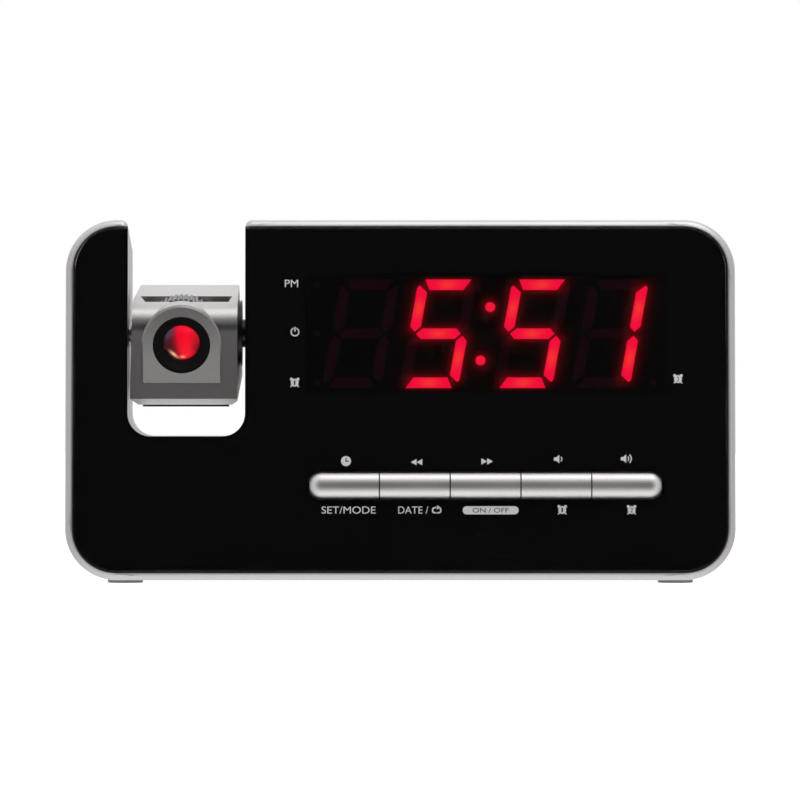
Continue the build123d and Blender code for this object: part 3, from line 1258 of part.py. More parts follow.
def pivot_pin():
    """Left pin with its washer face, pressed into the head's side wall."""
    end = NOTCH_LEFT - WALL - SPRING_CLEAR - COLLAR_THICK
    body = rod_x(PIN_RADIUS, end, HEAD_LEFT + HEAD_WALL)
    washer = rod_x(PIN_WASHER_RADIUS, NOTCH_LEFT + PIN_WASHER_GAP, HEAD_LEFT + HEAD_LEFT_TAPER)
    return body + (washer - head_form(0))


def pivot_collars():
    """Rings that keep the shaft and the pin in their bearings."""
    left = NOTCH_LEFT - WALL - SPRING_CLEAR
    right = NOTCH_RIGHT + WALL + SPRING_CLEAR + SPRING_THICK
    pin_ring = rod_x(PIN_COLLAR_RADIUS, left - COLLAR_THICK, left)
    pin_ring = pin_ring - rod_x(PIN_RADIUS, left - COLLAR_THICK - OVER, left + OVER)
    shaft_ring = rod_x(COLLAR_RADIUS, right, right + COLLAR_THICK)
    shaft_ring = shaft_ring - rod_x(SHAFT_RADIUS, right - OVER, right + COLLAR_THICK + OVER)
    return [pin_ring, shaft_ring]


def pivot_spring():
    """Spring washer that loads the friction hub."""
    start = NOTCH_RIGHT + WALL + SPRING_CLEAR
    body = rod_x(SPRING_RADIUS, start, start + SPRING_THICK)
    return body - rod_x(SHAFT_RADIUS, start - OVER, start + SPRING_THICK + OVER)


# ================================================================ write the nodes
BUTTON_NAMES = ["clock_button", "back_button", "forward_button", "volume_down_button", "volume_up_button"]


def write(name, shape, place_at=None):
    """Write one node: a single solid, or a group of separate solids."""
    if isinstance(shape, list):
        solids = [solid for piece in shape for solid in piece.solids()]
    else:
        solids = shape.solids()
    if place_at is not None:
        solids = [place_at * solid for solid in solids]
    whole = solids[0] if len(solids) == 1 else Compound(children=solids)
    export_step(whole, f"parts/{name}.step")


def main():
    """Build and write every node."""
    os.makedirs("parts", exist_ok=True)
    fixed = {
        "front_cabinet": front_cabinet(), "rear_cabinet": rear_cabinet(), "front_plate": front_plate(),
        "plate_mask": plate_mask(), "display_housing": display_housing(), "lit_segments": segments(True),
        "unlit_segments": segments(False), "colon_dots": colon_dots(), "indicator_dots": indicator_dots(),
        "control_board": control_board(), "control_board_chips": control_board_chips(),
        "light_sensor": light_sensor(), "key_switches": key_switches(), "top_key_board": top_key_board(),
        "main_board": main_board(), "main_board_parts": main_board_parts(), "tuner_can": tuner_can(),
        "dc_jack": dc_jack(), "backup_cells": backup_cells(), "battery_contacts": battery_contacts(),
        "speaker_frame": speaker_frame(), "speaker_cone": speaker_cone(),
        "speaker_magnet": speaker_magnet(), "rubber_feet": rubber_feet(), "case_screws": case_screws(),
        "board_screws": board_screws(), "rating_plate": rating_plate(),
        "antenna_grommet": antenna_grommet(), "battery_door": battery_door(),
    }
    for name, shape in fixed.items():
        write(name, shape)
    for index, name in enumerate(BUTTON_NAMES):
        write(name, bar_button(index))
        write(name.replace("button", "plunger"),
              plunger(FRONT, button_middles()[index], BAR_V, PLUNGER_W, SWITCH_W))
    write("snooze_key", top_key(SNOOZE_X, SNOOZE_LENGTH, SNOOZE_WIDE))
    write("snooze_plunger", plunger(TOP, SNOOZE_X, KEY_ROW, KEY_PLUNGER_TOP, KEY_SWITCH_TOP))
    write("beam_key", top_key(BEAM_KEY_X, BEAM_KEY_LENGTH, BEAM_KEY_WIDE))
    write("beam_plunger", plunger(TOP, BEAM_KEY_X, KEY_ROW, KEY_PLUNGER_TOP, KEY_SWITCH_TOP))
    head = {
        "head_front_shell": head_front_shell(), "head_rear_shell": head_rear_shell(),
        "head_base_plate": head_base_plate(), "head_screws": head_screws(), "lens_barrel": lens_barrel(),
        "projection_lens": projection_lens(), "focus_ring": focus_ring(), "light_tube": light_tube(),
        "time_slide": time_slide(), "condenser_lens": condenser_lens(), "projector_lamp": projector_lamp(),
        "lamp_board": lamp_board(), "pivot_hub": pivot_hub(), "pivot_pin": pivot_pin(),
        "pivot_collars": pivot_collars(), "pivot_spring": pivot_spring(),
    }
    for name, shape in head.items():
        write(name, shape, HEAD)


if __name__ == "__main__":
    main()
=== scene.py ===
"""Looks of the projection alarm clock: finishes, lit digits, printed legends, stage and camera.

Lengths are millimetres up to the last step of each shape, which turns them to metres. Finishes and
the stage count in metres.
"""
import json
import math

import bpy
import numpy as np
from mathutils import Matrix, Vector


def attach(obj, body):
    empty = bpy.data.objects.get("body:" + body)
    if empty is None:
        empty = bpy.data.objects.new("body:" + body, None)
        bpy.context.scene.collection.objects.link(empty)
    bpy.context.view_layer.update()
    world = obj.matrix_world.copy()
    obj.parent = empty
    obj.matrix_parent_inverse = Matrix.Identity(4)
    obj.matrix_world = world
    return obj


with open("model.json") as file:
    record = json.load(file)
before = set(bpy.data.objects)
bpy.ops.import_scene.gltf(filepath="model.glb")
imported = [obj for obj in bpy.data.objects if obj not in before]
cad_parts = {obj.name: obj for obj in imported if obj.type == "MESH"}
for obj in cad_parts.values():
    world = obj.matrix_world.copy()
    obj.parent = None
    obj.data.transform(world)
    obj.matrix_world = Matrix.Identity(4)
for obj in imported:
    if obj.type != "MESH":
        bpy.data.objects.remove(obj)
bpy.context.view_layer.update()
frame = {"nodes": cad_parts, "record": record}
NODES = frame["nodes"]

# ---------------------------------------------------------------- the clock's own measures
LEAN = math.radians(5.0)                # the front face leans back
Y_FRONT, BASE = -28.0, 0.8              # depth and height of the foot of the front face
HOUSING_FACE = 2.28                     # front of the display housing, behind the front face
UNIT = 0.2832                           # one legend unit
MIDDLE_UNIT, FOOT_UNIT = 400.3, 580.0   # legend units at the middle and at the foot of the front
LENS_X, PIVOT_Y, PIVOT_Z = -62.025, -5.976, 70.8   # the lens axis across, and the head's pivot
PITCH = math.radians(12.0)              # the head looks down


def on_front(x, v, w):
    """Point x across, v up the leaning front and w behind it, in metres: the front's origin plus
    v along its slope and w along its inward normal."""
    x, v, w = np.broadcast_arrays(np.asarray(x, float), v, w)
    y = Y_FRONT + v * math.sin(LEAN) + w * math.cos(LEAN)
    z = BASE + v * math.cos(LEAN) - w * math.sin(LEAN)
    return np.stack([x, y, z], axis=-1) / 1000.0


def on_head(x, y, z):
    """Point x, y, z about the pivot of the level head, pitched into place, in metres."""
    x, y, z = np.broadcast_arrays(np.asarray(x, float), y, z)
    turned_y = y * math.cos(PITCH) - z * math.sin(PITCH) + PIVOT_Y
    turned_z = y * math.sin(PITCH) + z * math.cos(PITCH) + PIVOT_Z
    return np.stack([x, turned_y, turned_z], axis=-1) / 1000.0


def legend_spot(across, down):
    """Place on the front, in millimetres, of a legend spot counted in legend units from the upper
    left: across grows to the right and down grows downwards."""
    return (across - MIDDLE_UNIT) * UNIT, (FOOT_UNIT - down) * UNIT / math.cos(LEAN)


# ================================================================ finishes
NOISE_SPAN = (0.3, 0.7)                 # most of a noise lies between these
SILVER_TINT = (1.0, 0.965, 0.955)
FLAKE_STEP = 0.05                       # how far the flakes' brightness is from the paint's own
LINE_SHADE = 0.82                       # factor on the brightness of steel in a brush line

# painted shade and painted highlight on the head, in metres from its pivot in its own level frame
BOSS_STEP = (-0.01595, -0.01588)        # depths between the face of the boss and the flat front
FRONT_EDGE = (-0.01565, -0.0152)        # depths over which the painted shade ends at the edge of the front
CHAMFER_LINE = (-0.01580, -0.01570)     # heights between the lower chamfer and the front
BOSS_HEIGHTS, BOSS_PAINTED_SHADE_SHARES = (-0.006, 0.011), (0.27, 0.80)   # share of the painted shade up the boss's face
FACE_PAINTED_SHADE, CHAMFER_PAINTED_HIGHLIGHT = 0.35, 1.58   # factors of painted shade on the front and of a painted highlight on the chamfer

LIT_CRIMSON, LIT_ORANGE = (0.92, 0.0, 0.045), (1.0, 0.042, 0.0245)


def material(name, **settings):
    """New material with one Principled shader whose plain sockets are set by name."""
    made = bpy.data.materials.new(name)
    made.use_nodes = True
    shader = made.node_tree.nodes["Principled BSDF"]
    for socket, value in settings.items():
        shader.inputs[socket.replace("_", " ")].default_value = value
    return made, made.node_tree, shader


def object_places(tree):
    """The Object coordinates of a material's surface."""
    return tree.nodes.new("ShaderNodeTexCoord").outputs["Object"]


def group_socket(group, name, way, kind="NodeSocketFloat", value=None):
    """One named input or output of a node group."""
    made = group.interface.new_socket(name=name, in_out=way, socket_type=kind)
    if value is not None:
        made.default_value = value


def moulded_grain():
    """Group: fine noise of a moulded or painted surface. Tone wanders slowly about 0.5, Height is
    the fine grain, both from layered noise on the given places."""
    group = bpy.data.node_groups.new("moulded grain", "ShaderNodeTree")
    group_socket(group, "Places", "INPUT", "NodeSocketVector")
    group_socket(group, "Grain", "INPUT", value=2500.0)
    group_socket(group, "Patch", "INPUT", value=40.0)
    group_socket(group, "Height", "OUTPUT")
    group_socket(group, "Tone", "OUTPUT")
    start = group.nodes.new("NodeGroupInput")
    end = group.nodes.new("NodeGroupOutput")
    for source, target, detail in (("Grain", "Height", 2.0), ("Patch", "Tone", 3.0)):
        noise = group.nodes.new("ShaderNodeTexNoise")
        noise.inputs["Detail"].default_value = detail
        group.links.new(start.outputs["Places"], noise.inputs["Vector"])
        group.links.new(start.outputs[source], noise.inputs["Scale"])
        group.links.new(noise.outputs["Fac"], end.inputs[target])
    return group


def metal_flakes():
    """Group: flakes in silver paint. Each cell of a fine cell pattern is one flake with its own
    brightness, Sparkle."""
    group = bpy.data.node_groups.new("metal flakes", "ShaderNodeTree")
    group_socket(group, "Places", "INPUT", "NodeSocketVector")
    group_socket(group, "Flake", "INPUT", value=5000.0)
    group_socket(group, "Sparkle", "OUTPUT")
    start = group.nodes.new("NodeGroupInput")
    end = group.nodes.new("NodeGroupOutput")
    cells = group.nodes.new("ShaderNodeTexVoronoi")
    group.links.new(start.outputs["Places"], cells.inputs["Vector"])
    group.links.new(start.outputs["Flake"], cells.inputs["Scale"])
    parts = group.nodes.new("ShaderNodeSeparateColor")
    group.links.new(cells.outputs["Color"], parts.inputs["Color"])
    group.links.new(parts.outputs["Red"], end.inputs["Sparkle"])
    return group


GRAIN = moulded_grain()
FLAKES = metal_flakes()


def use_group(tree, group, **values):
    """A group placed in a material, fed with Object coordinates and its own values."""
    node = tree.nodes.new("ShaderNodeGroup")
    node.node_tree = group
    tree.links.new(object_places(tree), node.inputs["Places"])
    for name, value in values.items():
        node.inputs[name].default_value = value
    return node


def map_range(tree, source, limits, values, kind):
    """A value carried from between two limits to between two values, and held past the limits."""
    node = tree.nodes.new("ShaderNodeMapRange")
    node.interpolation_type = kind
    for socket, value in zip(("From Min", "From Max", "To Min", "To Max"), (*limits, *values)):
        node.inputs[socket].default_value = value
    tree.links.new(source, node.inputs["Value"])
    return node.outputs["Result"]


def spread(tree, noise, low, high):
    """A noise stretched to run from low to high."""
    return map_range(tree, noise, NOISE_SPAN, (low, high), "LINEAR")


def ramp(tree, source, limits, values):
    """Smooth step of a value: the first value up to the lower limit, the second from the upper on."""
    return map_range(tree, source, limits, values, "SMOOTHSTEP")


def combine(tree, operation, first, second):
    """Result of one maths step on two sources, either of which may be a plain number."""
    node = tree.nodes.new("ShaderNodeMath")
    node.operation = operation
    for place, source in enumerate((first, second)):
        if isinstance(source, float):
            node.inputs[place].default_value = source
        else:
            tree.links.new(source, node.inputs[place])
    return node.outputs[0]


def blend_colours(tree, source, first, second):
    """Colour between first and second by a 0 to 1 value."""
    node = tree.nodes.new("ShaderNodeMix")
    node.data_type = "RGBA"
    node.inputs["A"].default_value = (*first, 1.0)
    node.inputs["B"].default_value = (*second, 1.0)
    tree.links.new(source, node.inputs["Factor"])
    return node.outputs["Result"]


def times(tree, colour, mask, factor):
    """A colour multiplied by a factor where a mask is 1."""
    node = tree.nodes.new("ShaderNodeMix")
    node.data_type = "RGBA"
    node.blend_type = "MULTIPLY"
    node.inputs["B"].default_value = (factor, factor, factor, 1.0)
    tree.links.new(colour, node.inputs["A"])
    tree.links.new(mask, node.inputs["Factor"])
    return node.outputs["Result"]


def gloss(tree, shader, noise, low, high):
    """Roughness that wanders between low and high with a noise."""
    tree.links.new(spread(tree, noise, low, high), shader.inputs["Roughness"])


def bump(tree, shader, height, strength, distance):
    """Bump from a height, in metres, into the shader's normal."""
    node = tree.nodes.new("ShaderNodeBump")
    node.inputs["Strength"].default_value = strength
    node.inputs["Distance"].default_value = distance
    tree.links.new(height, node.inputs["Height"])
    tree.links.new(node.outputs["Normal"], shader.inputs["Normal"])


def attribute(tree, name, output="Fac"):
    """What a piece's own attribute says at each point."""
    node = tree.nodes.new("ShaderNodeAttribute")
    node.attribute_name = name
    return node.outputs[output]


def silver_paint(name, level, rough, metallic, painted_light=None):
    """Silver paint: flakes vary the colour, a slow tone varies the gloss, fine grain is the skin.
    The last argument, if given, is a function that adds painted shade and painted highlights to the colour in
    places."""
    made, tree, shader = material(name, Metallic=metallic)
    flakes = use_group(tree, FLAKES, Flake=6000.0)
    grain = use_group(tree, GRAIN, Grain=1800.0, Patch=30.0)
    dark = tuple((level - FLAKE_STEP) * part for part in SILVER_TINT)
    light = tuple((level + FLAKE_STEP) * part for part in SILVER_TINT)
    colour = blend_colours(tree, flakes.outputs["Sparkle"], dark, light)
    if painted_light:
        colour = painted_light(tree, colour)
    tree.links.new(colour, shader.inputs["Base Color"])
    gloss(tree, shader, grain.outputs["Tone"], rough - 0.03, rough + 0.03)
    bump(tree, shader, grain.outputs["Height"], strength=0.12, distance=0.00004)
    return made


def head_painted_shade(tree, colour):
    """Painted shade and a painted highlight on the head's paint, in its own frame, turned back about the
    pivot: painted shade on the flat front, less of it, by height, on the face of the boss, and a painted
    highlight on the chamfer under the front."""
    places = tree.nodes.new("ShaderNodeMapping")
    places.vector_type = "TEXTURE"
    places.inputs["Location"].default_value = (0.0, PIVOT_Y / 1000, PIVOT_Z / 1000)
    places.inputs["Rotation"].default_value = (PITCH, 0.0, 0.0)
    tree.links.new(object_places(tree), places.inputs["Vector"])
    parts = tree.nodes.new("ShaderNodeSeparateXYZ")
    tree.links.new(places.outputs["Vector"], parts.inputs["Vector"])
    depth, height = parts.outputs["Y"], parts.outputs["Z"]
    flat = ramp(tree, depth, BOSS_STEP, (0.0, 1.0))
    boss = ramp(tree, height, BOSS_HEIGHTS, BOSS_PAINTED_SHADE_SHARES)
    ahead = ramp(tree, depth, FRONT_EDGE, (1.0, 0.0))
    above = ramp(tree, height, CHAMFER_LINE, (0.0, 1.0))
    under = ramp(tree, height, CHAMFER_LINE, (1.0, 0.0))
    front = combine(tree, "MULTIPLY", ahead, above)
    face = combine(tree, "MULTIPLY", front, combine(tree, "MAXIMUM", flat, boss))
    # paint darkened as painted shade over the front, then lightened as a painted highlight on the chamfer
    return times(tree, times(tree, colour, face, FACE_PAINTED_SHADE), under, CHAMFER_PAINTED_HIGHLIGHT)


def moulded(name, dark, light, rough, grain=2500.0, strength=0.2, **settings):
    """Moulded plastic, rubber or print: two near colours in slow patches over a fine grain."""
    made, tree, shader = material(name, **settings)
    skin = use_group(tree, GRAIN, Grain=grain, Patch=60.0)
    colour = blend_colours(tree, spread(tree, skin.outputs["Tone"], 0.0, 1.0), dark, light)
    tree.links.new(colour, shader.inputs["Base Color"])
    gloss(tree, shader, skin.outputs["Tone"], rough - 0.04, rough + 0.04)
    bump(tree, shader, skin.outputs["Height"], strength, distance=0.00005)
    return made


def brushed(name, colour, rough, squeeze=(1.0, 1.0, 40.0)):
    """Plated steel: fine brush lines, a noise squeezed by a factor along each axis."""
    made, tree, shader = material(name, Metallic=1.0)
    places = tree.nodes.new("ShaderNodeMapping")
    places.inputs["Scale"].default_value = squeeze
    tree.links.new(object_places(tree), places.inputs["Vector"])
    noise = tree.nodes.new("ShaderNodeTexNoise")
    noise.inputs["Scale"].default_value = 300.0
    tree.links.new(places.outputs["Vector"], noise.inputs["Vector"])
    lines = noise.outputs["Fac"]
    dark = tuple(LINE_SHADE * value for value in colour)
    shade = blend_colours(tree, spread(tree, lines, 0.0, 1.0), dark, colour)
    tree.links.new(shade, shader.inputs["Base Color"])
    gloss(tree, shader, lines, rough - 0.05, rough + 0.08)
    bump(tree, shader, lines, strength=0.1, distance=0.00003)
    return made


def clear_part(name, tint, index, rough, patch):
    """Polished clear moulding, tinted right through, with a faint slow variation of its gloss."""
    made, tree, shader = material(name, Base_Color=(*tint, 1.0), Transmission_Weight=1.0, IOR=index)
    gloss(tree, shader, use_group(tree, GRAIN, Patch=patch).outputs["Tone"], rough, rough + 0.03)
    return made


def board_lacquer():
    """Circuit board: green lacquer with lighter copper tracks under it, a brick pattern of lines."""
    made, tree, shader = material("board lacquer")
    tracks = tree.nodes.new("ShaderNodeTexBrick")
    tracks.inputs["Scale"].default_value = 260.0
    tracks.inputs["Mortar Size"].default_value = 0.035
    tracks.inputs["Color1"].default_value = (0.018, 0.11, 0.035, 1)
    tracks.inputs["Color2"].default_value = (0.022, 0.13, 0.042, 1)
    tracks.inputs["Mortar"].default_value = (0.05, 0.24, 0.09, 1)
    tree.links.new(object_places(tree), tracks.inputs["Vector"])
    tree.links.new(tracks.outputs["Color"], shader.inputs["Base Color"])
    gloss(tree, shader, use_group(tree, GRAIN, Patch=80.0).outputs["Tone"], 0.25, 0.35)
    bump(tree, shader, tracks.outputs["Fac"], strength=0.2, distance=0.00003)
    return made


def lit_face():
    """Lit segment: crimson with an orange heart, by the piece's own warmth attribute."""
    made, tree, shader = material("lit segment", Base_Color=(0.25, 0.01, 0.01, 1), Roughness=0.4,
                                  Emission_Strength=1.55)
    colour = blend_colours(tree, attribute(tree, "warmth"), LIT_CRIMSON, LIT_ORANGE)
    tree.links.new(colour, shader.inputs["Emission Color"])
    return made


def halo_light():
    """Soft light round the lit segments in the smoked plate: red that fades by the glow attribute."""
    made, tree, shader = material("halo", Base_Color=(0.0, 0.0, 0.0, 1), Roughness=0.5,
                                  Specular_IOR_Level=0.0, Emission_Color=(1.0, 0.01, 0.02, 1),
                                  Emission_Strength=1.1)
    tree.links.new(attribute(tree, "glow"), shader.inputs["Alpha"])
    return made


def painted_lens_glow():
    """Red glow behind the lens with painted shade, glints, highlights and a painted reflection, coloured by
    the piece's own colour attribute.
    """
    made, tree, shader = material("painted lens glow", Base_Color=(0.02, 0.001, 0.001, 1), Roughness=0.5,
                                  Specular_IOR_Level=0.0, Emission_Strength=1.1)
    tree.links.new(attribute(tree, "glow_with_painted_glints", "Color"), shader.inputs["Emission Color"])
    return made


SILVER = silver_paint("silver paint", 0.67, 0.30, 0.85)
SILVER_BUTTON = silver_paint("silver plating", 0.88, 0.42, 1.0)
# the head's silver, with painted shade on its front and a painted highlight on its chamfer
SILVER_HEAD_PAINTED_SHADE = silver_paint("head silver painted shade", 0.60, 0.30, 0.85, head_painted_shade)
BLACK_PRINT = moulded("black print", (0.019, 0.0195, 0.0195), (0.022, 0.0225, 0.0225), 0.5,
                      Specular_IOR_Level=0.1)
DISPLAY_BLACK = moulded("display housing", (0.0165, 0.0145, 0.0150), (0.0185, 0.0160, 0.0165), 0.6,
                        Specular_IOR_Level=0.1)
UNLIT = moulded("unlit segment", (0.060, 0.015, 0.028), (0.068, 0.017, 0.031), 0.45, Specular_IOR_Level=0.1)
LAMP = moulded("projector lamp", (0.30, 0.01, 0.01), (0.34, 0.012, 0.012), 0.3,
               Emission_Color=(1.0, 0.012, 0.05, 1), Emission_Strength=2.2)
BLACK_PLASTIC = moulded("black plastic", (0.010, 0.010, 0.011), (0.014, 0.014, 0.015), 0.28, strength=0.1)
# darker copy of the black plastic for the lens barrel: painted shade of the bore it sits in
BARREL_BLACK_PAINTED_SHADE = moulded("barrel black painted shade", (0.0035, 0.0035, 0.0038), (0.005, 0.005, 0.0054), 0.5, strength=0.1,
                       Specular_IOR_Level=0.12)
GREY_PLASTIC = moulded("grey plastic", (0.22, 0.22, 0.225), (0.27, 0.27, 0.275), 0.35)
WHITE_PLASTIC = moulded("white plastic", (0.62, 0.61, 0.57), (0.68, 0.67, 0.63), 0.35)
CHIP_BLACK = moulded("chip resin", (0.018, 0.018, 0.019), (0.026, 0.026, 0.027), 0.5)
RUBBER = moulded("rubber", (0.016, 0.016, 0.016), (0.024, 0.024, 0.024), 0.75, 1200.0, 0.4)
# pale grey in place of the black rubber: painted light, so the feet in the shadow under the clock look as
# bright as the floor
FOOT_RUBBER_PAINTED_LIGHT = moulded("foot rubber painted light", (0.40, 0.39, 0.385), (0.46, 0.45, 0.445), 0.7, 1200.0, 0.3)
PAPER_CONE = moulded("cone paper", (0.022, 0.020, 0.018), (0.035, 0.032, 0.029), 0.9, 900.0, 0.7)
FERRITE = moulded("ferrite", (0.045, 0.045, 0.048), (0.06, 0.06, 0.062), 0.55)
LABEL = moulded("label foil", (0.52, 0.52, 0.52), (0.58, 0.58, 0.58), 0.4, strength=0.05)
CELL_JACKET = moulded("cell jacket", (0.03, 0.06, 0.10), (0.04, 0.07, 0.115), 0.3, strength=0.05)
INK_LIGHT = moulded("light ink", (0.82, 0.82, 0.82), (0.90, 0.90, 0.90), 0.5, strength=0.1)
INK_DARK = moulded("dark ink", (0.03, 0.03, 0.03), (0.04, 0.04, 0.04), 0.5, strength=0.1)
STEEL = brushed("zinc plated steel", (0.52, 0.52, 0.54), 0.3)
TIN = brushed("tinned steel", (0.62, 0.62, 0.61), 0.35, squeeze=(20.0, 1.0, 1.0))
BOARD = board_lacquer()
PLATE = clear_part("smoked acrylic", (0.62, 0.60, 0.60), 1.49, 0.02, 12.0)
LENS = clear_part("lens", (0.96, 0.80, 0.82), 1.2, 0.01, 90.0)
LIT = lit_face()
HALO = halo_light()
PAINTED_LENS_GLOW = painted_lens_glow()

FINISHES = {
    "silver_paint": SILVER, "silver_button": SILVER_BUTTON, "smoked_clear": PLATE,
    "black_print": BLACK_PRINT, "display_black": DISPLAY_BLACK, "lit_red": LAMP, "dark_red": UNLIT,
    "board_green": BOARD, "chip_black": CHIP_BLACK, "tinned_steel": TIN, "screw_steel": STEEL,
    "cell_jacket": CELL_JACKET, "cone_paper": PAPER_CONE, "magnet_grey": FERRITE,
    "black_rubber": RUBBER, "label_grey": LABEL, "plunger_white": WHITE_PLASTIC,
    "black_plastic": BLACK_PLASTIC, "grey_plastic": GREY_PLASTIC, "lens_clear": LENS,
}


def finish_node(node, finish):
    """Give every material slot of a node one finish."""
    piece = NODES[node]
    if not piece.material_slots:
        piece.data.materials.append(finish)
    for place in piece.material_slots:
        place.material = finish


for part in frame["record"]["subparts"]:
    finish_node(part["node"], FINISHES[part["material_slot"]])
finish_node("time_slide", LAMP)
finish_node("lens_barrel", BARREL_BLACK_PAINTED_SHADE)
# the head's front shell takes the silver with painted shade and highlight
finish_node("head_front_shell", SILVER_HEAD_PAINTED_SHADE)
finish_node("rubber_feet", FOOT_RUBBER_PAINTED_LIGHT)


# ================================================================ shapes
def sheet_faces(rows, cols, start=0):
    """Corner numbers of the squares of a grid of points, row by row."""
    step = np.arange(rows - 1)[:, None] * cols + np.arange(cols - 1)[None, :] + start
    return np.stack([step, step + 1, step + 1 + cols, step + cols], axis=-1).reshape(-1, 4)


def closed_sheet(front, back):
    """Points and faces of a thin closed piece: a front grid, a back grid of the same size, and a
    band of squares round their edges."""
    rows, cols = front.shape[:2]
    points = np.concatenate([front.reshape(-1, 3), back.reshape(-1, 3)])
    size = rows * cols
    index = np.arange(size).reshape(rows, cols)
    loop = np.concatenate([index[0, :-1], index[:-1, -1], index[-1, :0:-1], index[:0:-1, 0]])
    ahead = np.roll(loop, -1)
    band = np.stack([loop, loop + size, ahead + size, ahead], axis=-1)
    faces = np.concatenate([sheet_faces(rows, cols), sheet_faces(rows, cols, size)[:, ::-1], band])
    return points, faces


def front_sheet(x, v, depths):
    """Thin closed sheet along the front: the same grid of places x and v at two depths behind it."""
    return closed_sheet(on_front(x, v, depths[0]), on_front(x, v, depths[1]))


def closed_disc(front, back, rings, count):
    """Points and faces of a closed disc from two sets of rings, inner ring first: bands of squares,
    one face over each middle, and squares round the rim."""
    size = rings * count
    index = np.arange(size).reshape(rings, count)
    ahead = np.roll(index, -1, axis=1)
    bands = np.stack([index[:-1], index[1:], ahead[1:], ahead[:-1]], axis=-1).reshape(-1, 4)
    rim = np.stack([index[-1], index[-1] + size, ahead[-1] + size, ahead[-1]], axis=-1)
    faces = bands.tolist() + (bands[:, ::-1] + size).tolist() + rim.tolist()
    faces += [index[0].tolist(), (index[0][::-1] + size).tolist()]
    return np.concatenate([front, back]), faces


def joined(parts):
    """Points and faces of several pieces as one mesh."""
    points = np.concatenate([part[0] for part in parts])
    starts = np.cumsum([0] + [len(part[0]) for part in parts[:-1]])
    faces = np.concatenate([part[1] + start for part, start in zip(parts, starts)])
    return points, faces


def new_object(name, data):
    """Object of a mesh, a curve, a lamp or a camera, linked into the scene."""
    made = bpy.data.objects.new(name, data)
    bpy.context.scene.collection.objects.link(made)
    return made


def put_on(name, mesh, finish, body):
    """Object of a mesh, riding on a body, with its finish."""
    mesh.materials.clear()
    mesh.materials.append(finish)
    mesh.update()
    piece = new_object(name, mesh)
    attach(piece, body)


def piece_of(name, points, faces, finish, body, slot, attributes=None, glow_with_painted_glints=None):
    """Piece of points and faces, with a number or a colour at each point if they are given."""
    mesh = bpy.data.meshes.new(name)
    mesh.from_pydata(points.tolist(), [], faces if isinstance(faces, list) else faces.tolist())
    for key, values in (attributes or {}).items():
        layer = mesh.attributes.new(key, "FLOAT", "POINT")
        layer.data.foreach_set("value", np.asarray(values, float).ravel())
    if glow_with_painted_glints is not None:
        layer = mesh.attributes.new("glow_with_painted_glints", "FLOAT_COLOR", "POINT")
        layer.data.foreach_set("color", np.asarray(glow_with_painted_glints, float).ravel())
    put_on(name, mesh, finish, body)


# ================================================================ lit digits
DIGIT_HEIGHT, DIGIT_WIDTH = 30.9, 16.71   # of a digit before it is slanted
SEGMENT = 3.0                           # width of a segment
DIGIT_PITCH, COLON_PITCH = 22.0, 26.6   # from digit to digit, and across the colon
COLUMN_X, DISPLAY_V = 24.1, 70.2        # the colon's middle across and up the front
SLANT = math.tan(math.radians(10.3))
SEGMENT_GAP = 0.55                      # from where two segments' middle lines cross to their ends
SEGMENT_FLARE, SEGMENT_TIP = 0.2, 0.35  # longer outer edge of a level one, longer end of an upright one
SEGMENT_NOSE, SEGMENT_MITRE = 0.6, 2.0  # cuts at the outer and the inner corner of that longer end
SEGMENT_CUT = 0.03                      # blunt end of a segment's point
SEGMENT_STEPS, SEGMENT_ROWS = 31, 9     # points along a segment and across it
COLON_RISE, COLON_RADIUS, COLON_STEPS = 7.6, 1.4, 15
HEART, DOT_HEART = 0.9, 0.35            # warmth in the middle of a segment and of a dot
HEART_SPREAD = 0.36                     # its spread, as a share of a segment's half length and its width
FACE_DEPTHS = (HOUSING_FACE - 0.06, HOUSING_FACE - 0.01)   # front and back of the lit faces
HALO_DEPTHS = (HOUSING_FACE - 0.05, HOUSING_FACE - 0.04)
HALO_WIDE, HALO_HIGH = 50.6, 16.6       # half sizes of the halo sheet
HALO_COLUMNS, HALO_ROWS = 260, 90       # points along it and up it
HALO_GLOW, HALO_REACH = 0.17, 0.85      # glow beside a segment, and the distance that divides it by e
HALO_FADE = 1.5                         # strip in which the glow ends, at the upper and lower edge

THICK = SEGMENT / 2                     # half a segment's width
SIDE, RISE = (DIGIT_WIDTH - SEGMENT) / 2, (DIGIT_HEIGHT - SEGMENT) / 2   # to the outer segments' middles
FLAT, TALL = SIDE - SEGMENT_GAP, RISE / 2 - SEGMENT_GAP   # half lengths, level and upright

# each segment: its kind, the side it lies on and the way its outer end points
SEGMENTS = {"a": ("level", 0, 1), "d": ("level", 0, -1), "g": ("middle", 0, 1), "b": ("upright", 1, 1),
            "c": ("upright", 1, -1), "e": ("upright", -1, -1), "f": ("upright", -1, 1)}
# each digit from the left: its middle and its lit segments
DIGITS = [(COLUMN_X - COLON_PITCH / 2 - DIGIT_PITCH, ""), (COLUMN_X - COLON_PITCH / 2, "afgcd"),
          (COLUMN_X + COLON_PITCH / 2, "afgcd"), (COLUMN_X + COLON_PITCH / 2 + DIGIT_PITCH, "bc")]
LIT_SEGMENTS = [(x, *SEGMENTS[letter]) for x, shown in DIGITS for letter in shown]
COLON_SPOTS = [(COLUMN_X + SLANT * rise, rise) for rise in (COLON_RISE, -COLON_RISE)]


